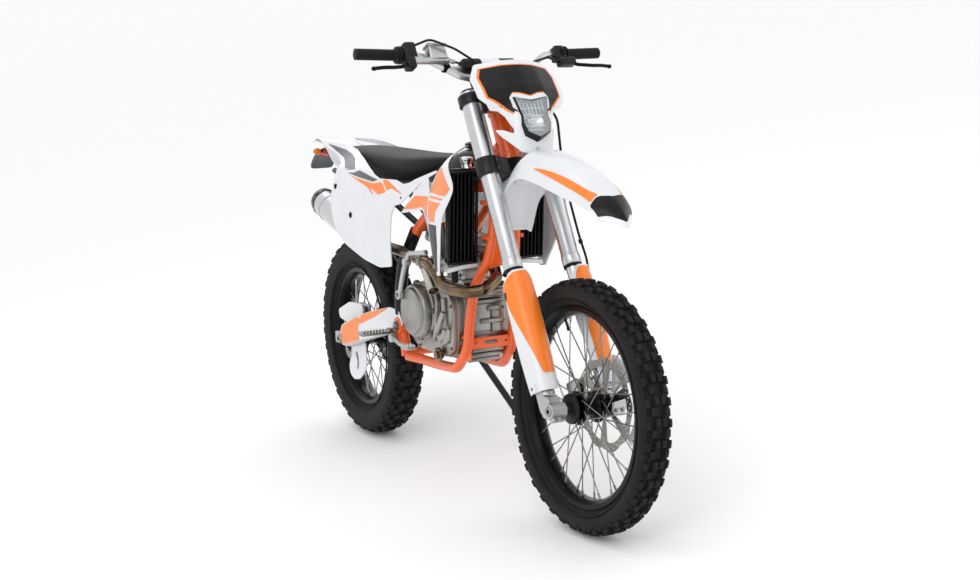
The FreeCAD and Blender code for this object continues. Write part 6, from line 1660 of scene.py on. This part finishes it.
def drive_chain():
    front, rear, small, large = Vector((150, 470)), Vector((740, 338)), 30, 111
    gap = rear - front
    lean = math.atan2(gap.y, gap.x)
    spread = math.acos((small - large) / gap.length)
    loop = []
    for centre, radius, start, end in ((front, small, lean + spread, lean + 2 * math.pi - spread),
            (rear, large, lean - spread, lean + spread)):
        steps = 12 if radius < 60 else 40
        for step in range(steps + 1):
            angle = start + (end - start) * step / steps
            loop.append(centre + Vector((math.cos(angle), math.sin(angle))) * radius)
    loop.append(loop[0])
    lengths = [0.0]
    for before, after in zip(loop, loop[1:]):
        lengths.append(lengths[-1] + (after - before).length)
    pitch = 15.875
    count = 2 * round(lengths[-1] / pitch / 2)
    pins = []
    for i in range(count):
        reach = lengths[-1] * i / count
        j = max(k for k in range(len(lengths)) if lengths[k] <= reach)
        j = min(j, len(loop) - 2)
        share = (reach - lengths[j]) / max(1e-6, lengths[j + 1] - lengths[j])
        pins.append(loop[j].lerp(loop[j + 1], share))
    plate = softened([(-12.4, -6.4), (-6, -7), (0, -4.6), (6, -7), (12.4, -6.4), (14, 0), (12.4, 6.4), (6, 7),
        (0, 4.6), (-6, 7), (-12.4, 6.4), (-14, 0)], 2, 1)
    # The inner and the outer link, by the left ends of their two plates
    pair = [joined("chain_link", *[outline_plate("link_plate", plate, 0, x - 1.4, x) for x in ends],
        bar("roller", (67.5, -7.9, 0), (76.5, -7.9, 0), 5, 12), bar("rivet", (65.6, -7.9, 0), (78.4, -7.9, 0), 2.6,
        8)) for ends in ((76.0, 69.4), (77.6, 67.8))]
    links = []
    for i, (start, end) in enumerate(zip(pins, pins[1:] + pins[:1])):
        middle, run = (start + end) / 2, end - start
        move = (Matrix.Translation(Vector((0, middle.x, middle.y)))
            @ Matrix.Rotation(math.atan2(run.y, run.x), 4, "X"))
        links.append(copied(pair[i % 2], "link", move))
    dropped(*pair)
    on_bike(joined("roller_chain", *links), "chain_steel", "drive_chain", finish="chain")


def drive_calipers():
    def caliper(name, x, y, z, disc):
        inner = block(name, (x[0], disc - 4.2), y, z, 6, 3)
        outer = block(name, (disc + 4.2, x[1]), y, z, 6, 3)
        back = block(name, x, (y[1] - 14, y[1]), z, 5)
        return joined(name, inner, outer, back)
    rear = caliper("rear_caliper_body", (-78, -42), (624, 700), (404, 462), REAR_SIZES["disc_at"])
    pistons = [bar("piston_boss", (-84, y, 434), (-76, y, 434), 13, 28, bevel=2) for y in (646, 678)]
    rear = coat("cast", "rear_caliper_body", rear, *pistons)
    on_bike(rear, "caliper_metal", "rear_caliper")
    front = caliper("front_caliper_body", (42, 72), (30, 86), (36, 106), FRONT_SIZES["disc_at"])
    boss = [bar("piston_boss", (70, 52, z), (78, 52, z), 13, 28, bevel=2) for z in (54, 88)]
    front = coat("cast", "front_caliper_body", front, *boss)
    on_fork(front, "caliper_metal", "front_caliper")


class ENDURO_OT_rear_drive(bpy.types.Operator):
    """Swingarm, shock, chain, rear axle and both calipers"""
    bl_idname = "enduro.rear_drive"
    bl_label = "Rear drive and brakes"

    def execute(self, context):
        drive_swingarm()
        drive_shock()
        drive_chain()
        drive_calipers()
        return {"FINISHED"}


def build_foot_controls():
    plate = block("peg_body", (128, 234), (247, 289), (424, 434), 3)
    cut(plate, block("peg_window", (150, 222), (256, 280), (410, 450)))
    ribs = [block("peg_rib", (x, x + 4), (250, 286), (424, 434), 0.8) for x in (168, 186, 204)]
    clevis = block("peg_clevis", (122, 140), (254, 282), (418, 440), 4)
    parts = [plate, clevis, *ribs]
    for i in range(9):
        x = 146 + i * 10.6
        for y in (249, 287):
            parts.append(bar("peg_tooth", (x, y, 433), (x, y, 440), 3.4, 6, 0.8))
    for y in (258, 268, 278):
        parts.append(bar("peg_tooth", (231, y, 433), (231, y, 440), 3.4, 6, 0.8))
    pegs = both_sides("peg", joined("peg_left", *parts))
    on_bike(pegs, "cast_silver", "footpegs", finish="steel")

    arm = pipe("pedal_arm", along([(-134, 236, 414), (-140, 170, 402), (-156, 60, 410)], 30), 7, 18)
    hub = bar("pedal_hub", (-126, 236, 414), (-146, 236, 414), 15, 28, bevel=2)
    tip = block("pedal_tip", (-184, -148), (22, 64), (408, 416), 3)
    teeth = [bar("pedal_tooth", (x, y, 415), (x, y, 424), 3.2, 6, 0.8) for x in (-178, -166, -154)
        for y in (28, 39, 50, 60)]
    on_bike(joined("brake_pedal_forging", arm, hub, tip, *teeth), "lever_silver", "brake_pedal", finish="cast")

    shaft = bar("gear_shaft", (92, 70, 420), (120, 70, 420), 8.6, 28, bevel=1)
    arm = pipe("gear_arm", along([(113, 70, 420), (120, 10, 414), (124, -46, 420)], 24), 6, 18)
    tip = bar("gear_tip", (118, -48, 421), (158, -48, 423), 7.4, 28, bevel=2)
    on_bike(joined("gear_lever_forging", arm, shaft, tip), "lever_silver", "gear_lever", finish="cast")


class ENDURO_OT_controls(bpy.types.Operator):
    """Footpegs, brake pedal and gear lever"""
    bl_idname = "enduro.controls"
    bl_label = "Foot controls"

    def execute(self, context):
        build_foot_controls()
        return {"FINISHED"}


NODE_FINISHES = {"side_stand": "black_coat", "stand_bracket": "black_coat"}


class ENDURO_OT_stage(bpy.types.Operator):
    """Pale floor, soft studio lights and the photograph's camera"""
    bl_idname = "enduro.stage"
    bl_label = "Stage"

    def execute(self, context):
        object_mode()
        bpy.ops.mesh.primitive_grid_add(x_subdivisions=1, y_subdivisions=1, size=60, location=(0, 0, -0.0005))
        floor = added("studio_floor")
        floor.data.materials.append(pale_floor())
        world = bpy.data.worlds.new("studio_white")
        world.use_nodes = True
        world.node_tree.nodes["Background"].inputs["Color"].default_value = (1, 1, 1, 1)
        world.node_tree.nodes["Background"].inputs["Strength"].default_value = 0.96
        context.scene.world = world
        for name, place, size, power in (("key_light", (-2.6, -3.4, 3.6), 2.2, 34),
                ("fill_light", (3.4, -2.6, 2.2), 2.0, 8), ("back_light", (0.8, 3.6, 2.8), 2.0, 14),
                ("top_light", (-0.4, -0.4, 4.2), 2.4, 12)):
            bpy.ops.object.light_add(type="AREA", location=place)
            light = added(name)
            light.data.size = size
            light.data.energy = power
            light.rotation_euler = (Vector((0, 0, 0.6)) - Vector(place)).to_track_quat("-Z", "Y").to_euler()
        bpy.ops.object.camera_add()
        camera = added("photo_camera")
        camera.data.sensor_width = 36
        # The photograph is 980 pixels wide and its focal length 1692 pixels
        camera.data.lens = 1692.277 / 980 * camera.data.sensor_width
        camera.data.clip_end = 100
        # The photograph's view of the upright bike: the rows are the camera's right, down and ahead
        right, down, ahead = (Vector((0.89173, -0.4513, -0.03388)), Vector((-0.09527, -0.11401, -0.9889)),
            Vector((0.44243, 0.88506, -0.14466)))
        spot = Vector((-2211.5, -4613.3, 1324.6))
        turned_to = Matrix((right, -down, -ahead)).transposed().to_4x4()
        lean = BIKE @ Matrix.Scale(1000, 4)
        camera.matrix_world = Matrix.Translation(BIKE @ spot) @ lean.to_3x3().normalized().to_4x4() @ turned_to
        context.scene.camera = camera
        context.scene.view_settings.view_transform = "Standard"
        return {"FINISHED"}


def pale_floor():
    """Matt paper under the bike, with a faint tooth."""
    material, tree, shader, place = new_finish("matt_studio_paper")
    fine = put(tree, "ShaderNodeTexNoise", {"Vector": place}, {"Scale": 300.0, "Detail": 3.0})
    bumped(tree, shader, fine.outputs["Fac"], 0.02, 0.0005)
    shader.inputs["Base Color"].default_value = linear(bpy.context.scene.enduro_colours.floor_pale)
    shader.inputs["Roughness"].default_value = 0.9
    shader.inputs["Specular IOR Level"].default_value = 0.1
    return material


class VIEW3D_PT_enduro(bpy.types.Panel):
    """Buttons and sizes of the enduro bike"""
    bl_label = "Enduro bike"
    bl_space_type = "VIEW_3D"
    bl_region_type = "UI"
    bl_category = "Enduro"

    def draw(self, context):
        layout = self.layout
        for owner in (context.scene.enduro_colours, context.scene.enduro_wheels):
            for key in type(owner).__annotations__:
                layout.prop(owner, key)
        for operator in OPERATORS:
            layout.operator(operator.bl_idname)


GROUPS = {"enduro_colours": EnduroColours, "enduro_wheels": EnduroWheelSizes}
OPERATORS = (ENDURO_OT_wheels, ENDURO_OT_fork, ENDURO_OT_handlebar, ENDURO_OT_front_bodywork, ENDURO_OT_frame,
    ENDURO_OT_engine, ENDURO_OT_exhaust, ENDURO_OT_cooling, ENDURO_OT_seat_and_tank, ENDURO_OT_rear_bodywork,
    ENDURO_OT_rear_drive, ENDURO_OT_controls, ENDURO_OT_stage)


def register():
    for group in GROUPS.values():
        bpy.utils.register_class(group)
    for name, group in GROUPS.items():
        setattr(bpy.types.Scene, name, bpy.props.PointerProperty(type=group))
    for operator in OPERATORS:
        bpy.utils.register_class(operator)
    bpy.utils.register_class(VIEW3D_PT_enduro)


def unregister():
    bpy.utils.unregister_class(VIEW3D_PT_enduro)
    for operator in reversed(OPERATORS):
        bpy.utils.unregister_class(operator)
    for name, group in GROUPS.items():
        delattr(bpy.types.Scene, name)
        bpy.utils.unregister_class(group)


def main():
    register()
    FINISH.update(make_finishes())
    object_mode()
    bpy.ops.object.select_all(action="DESELECT")
    bpy.ops.enduro.wheels()
    bpy.ops.enduro.fork()
    bpy.ops.enduro.handlebar()
    bpy.ops.enduro.front_bodywork()
    bpy.ops.enduro.frame()
    bpy.ops.enduro.engine()
    bpy.ops.enduro.exhaust()
    bpy.ops.enduro.cooling()
    bpy.ops.enduro.seat_and_tank()
    bpy.ops.enduro.rear_bodywork()
    bpy.ops.enduro.rear_drive()
    bpy.ops.enduro.controls()
    bpy.ops.enduro.stage()
    finish_plain_nodes()
    object_mode()
    bpy.ops.object.select_all(action="DESELECT")
    bpy.context.view_layer.update()


def finish_plain_nodes():
    """CAD nodes that keep their own shape get their finish."""
    for node, finish in NODE_FINISHES.items():
        coloured(frame["nodes"][node], finish)


if __name__ == "__main__":
    main()
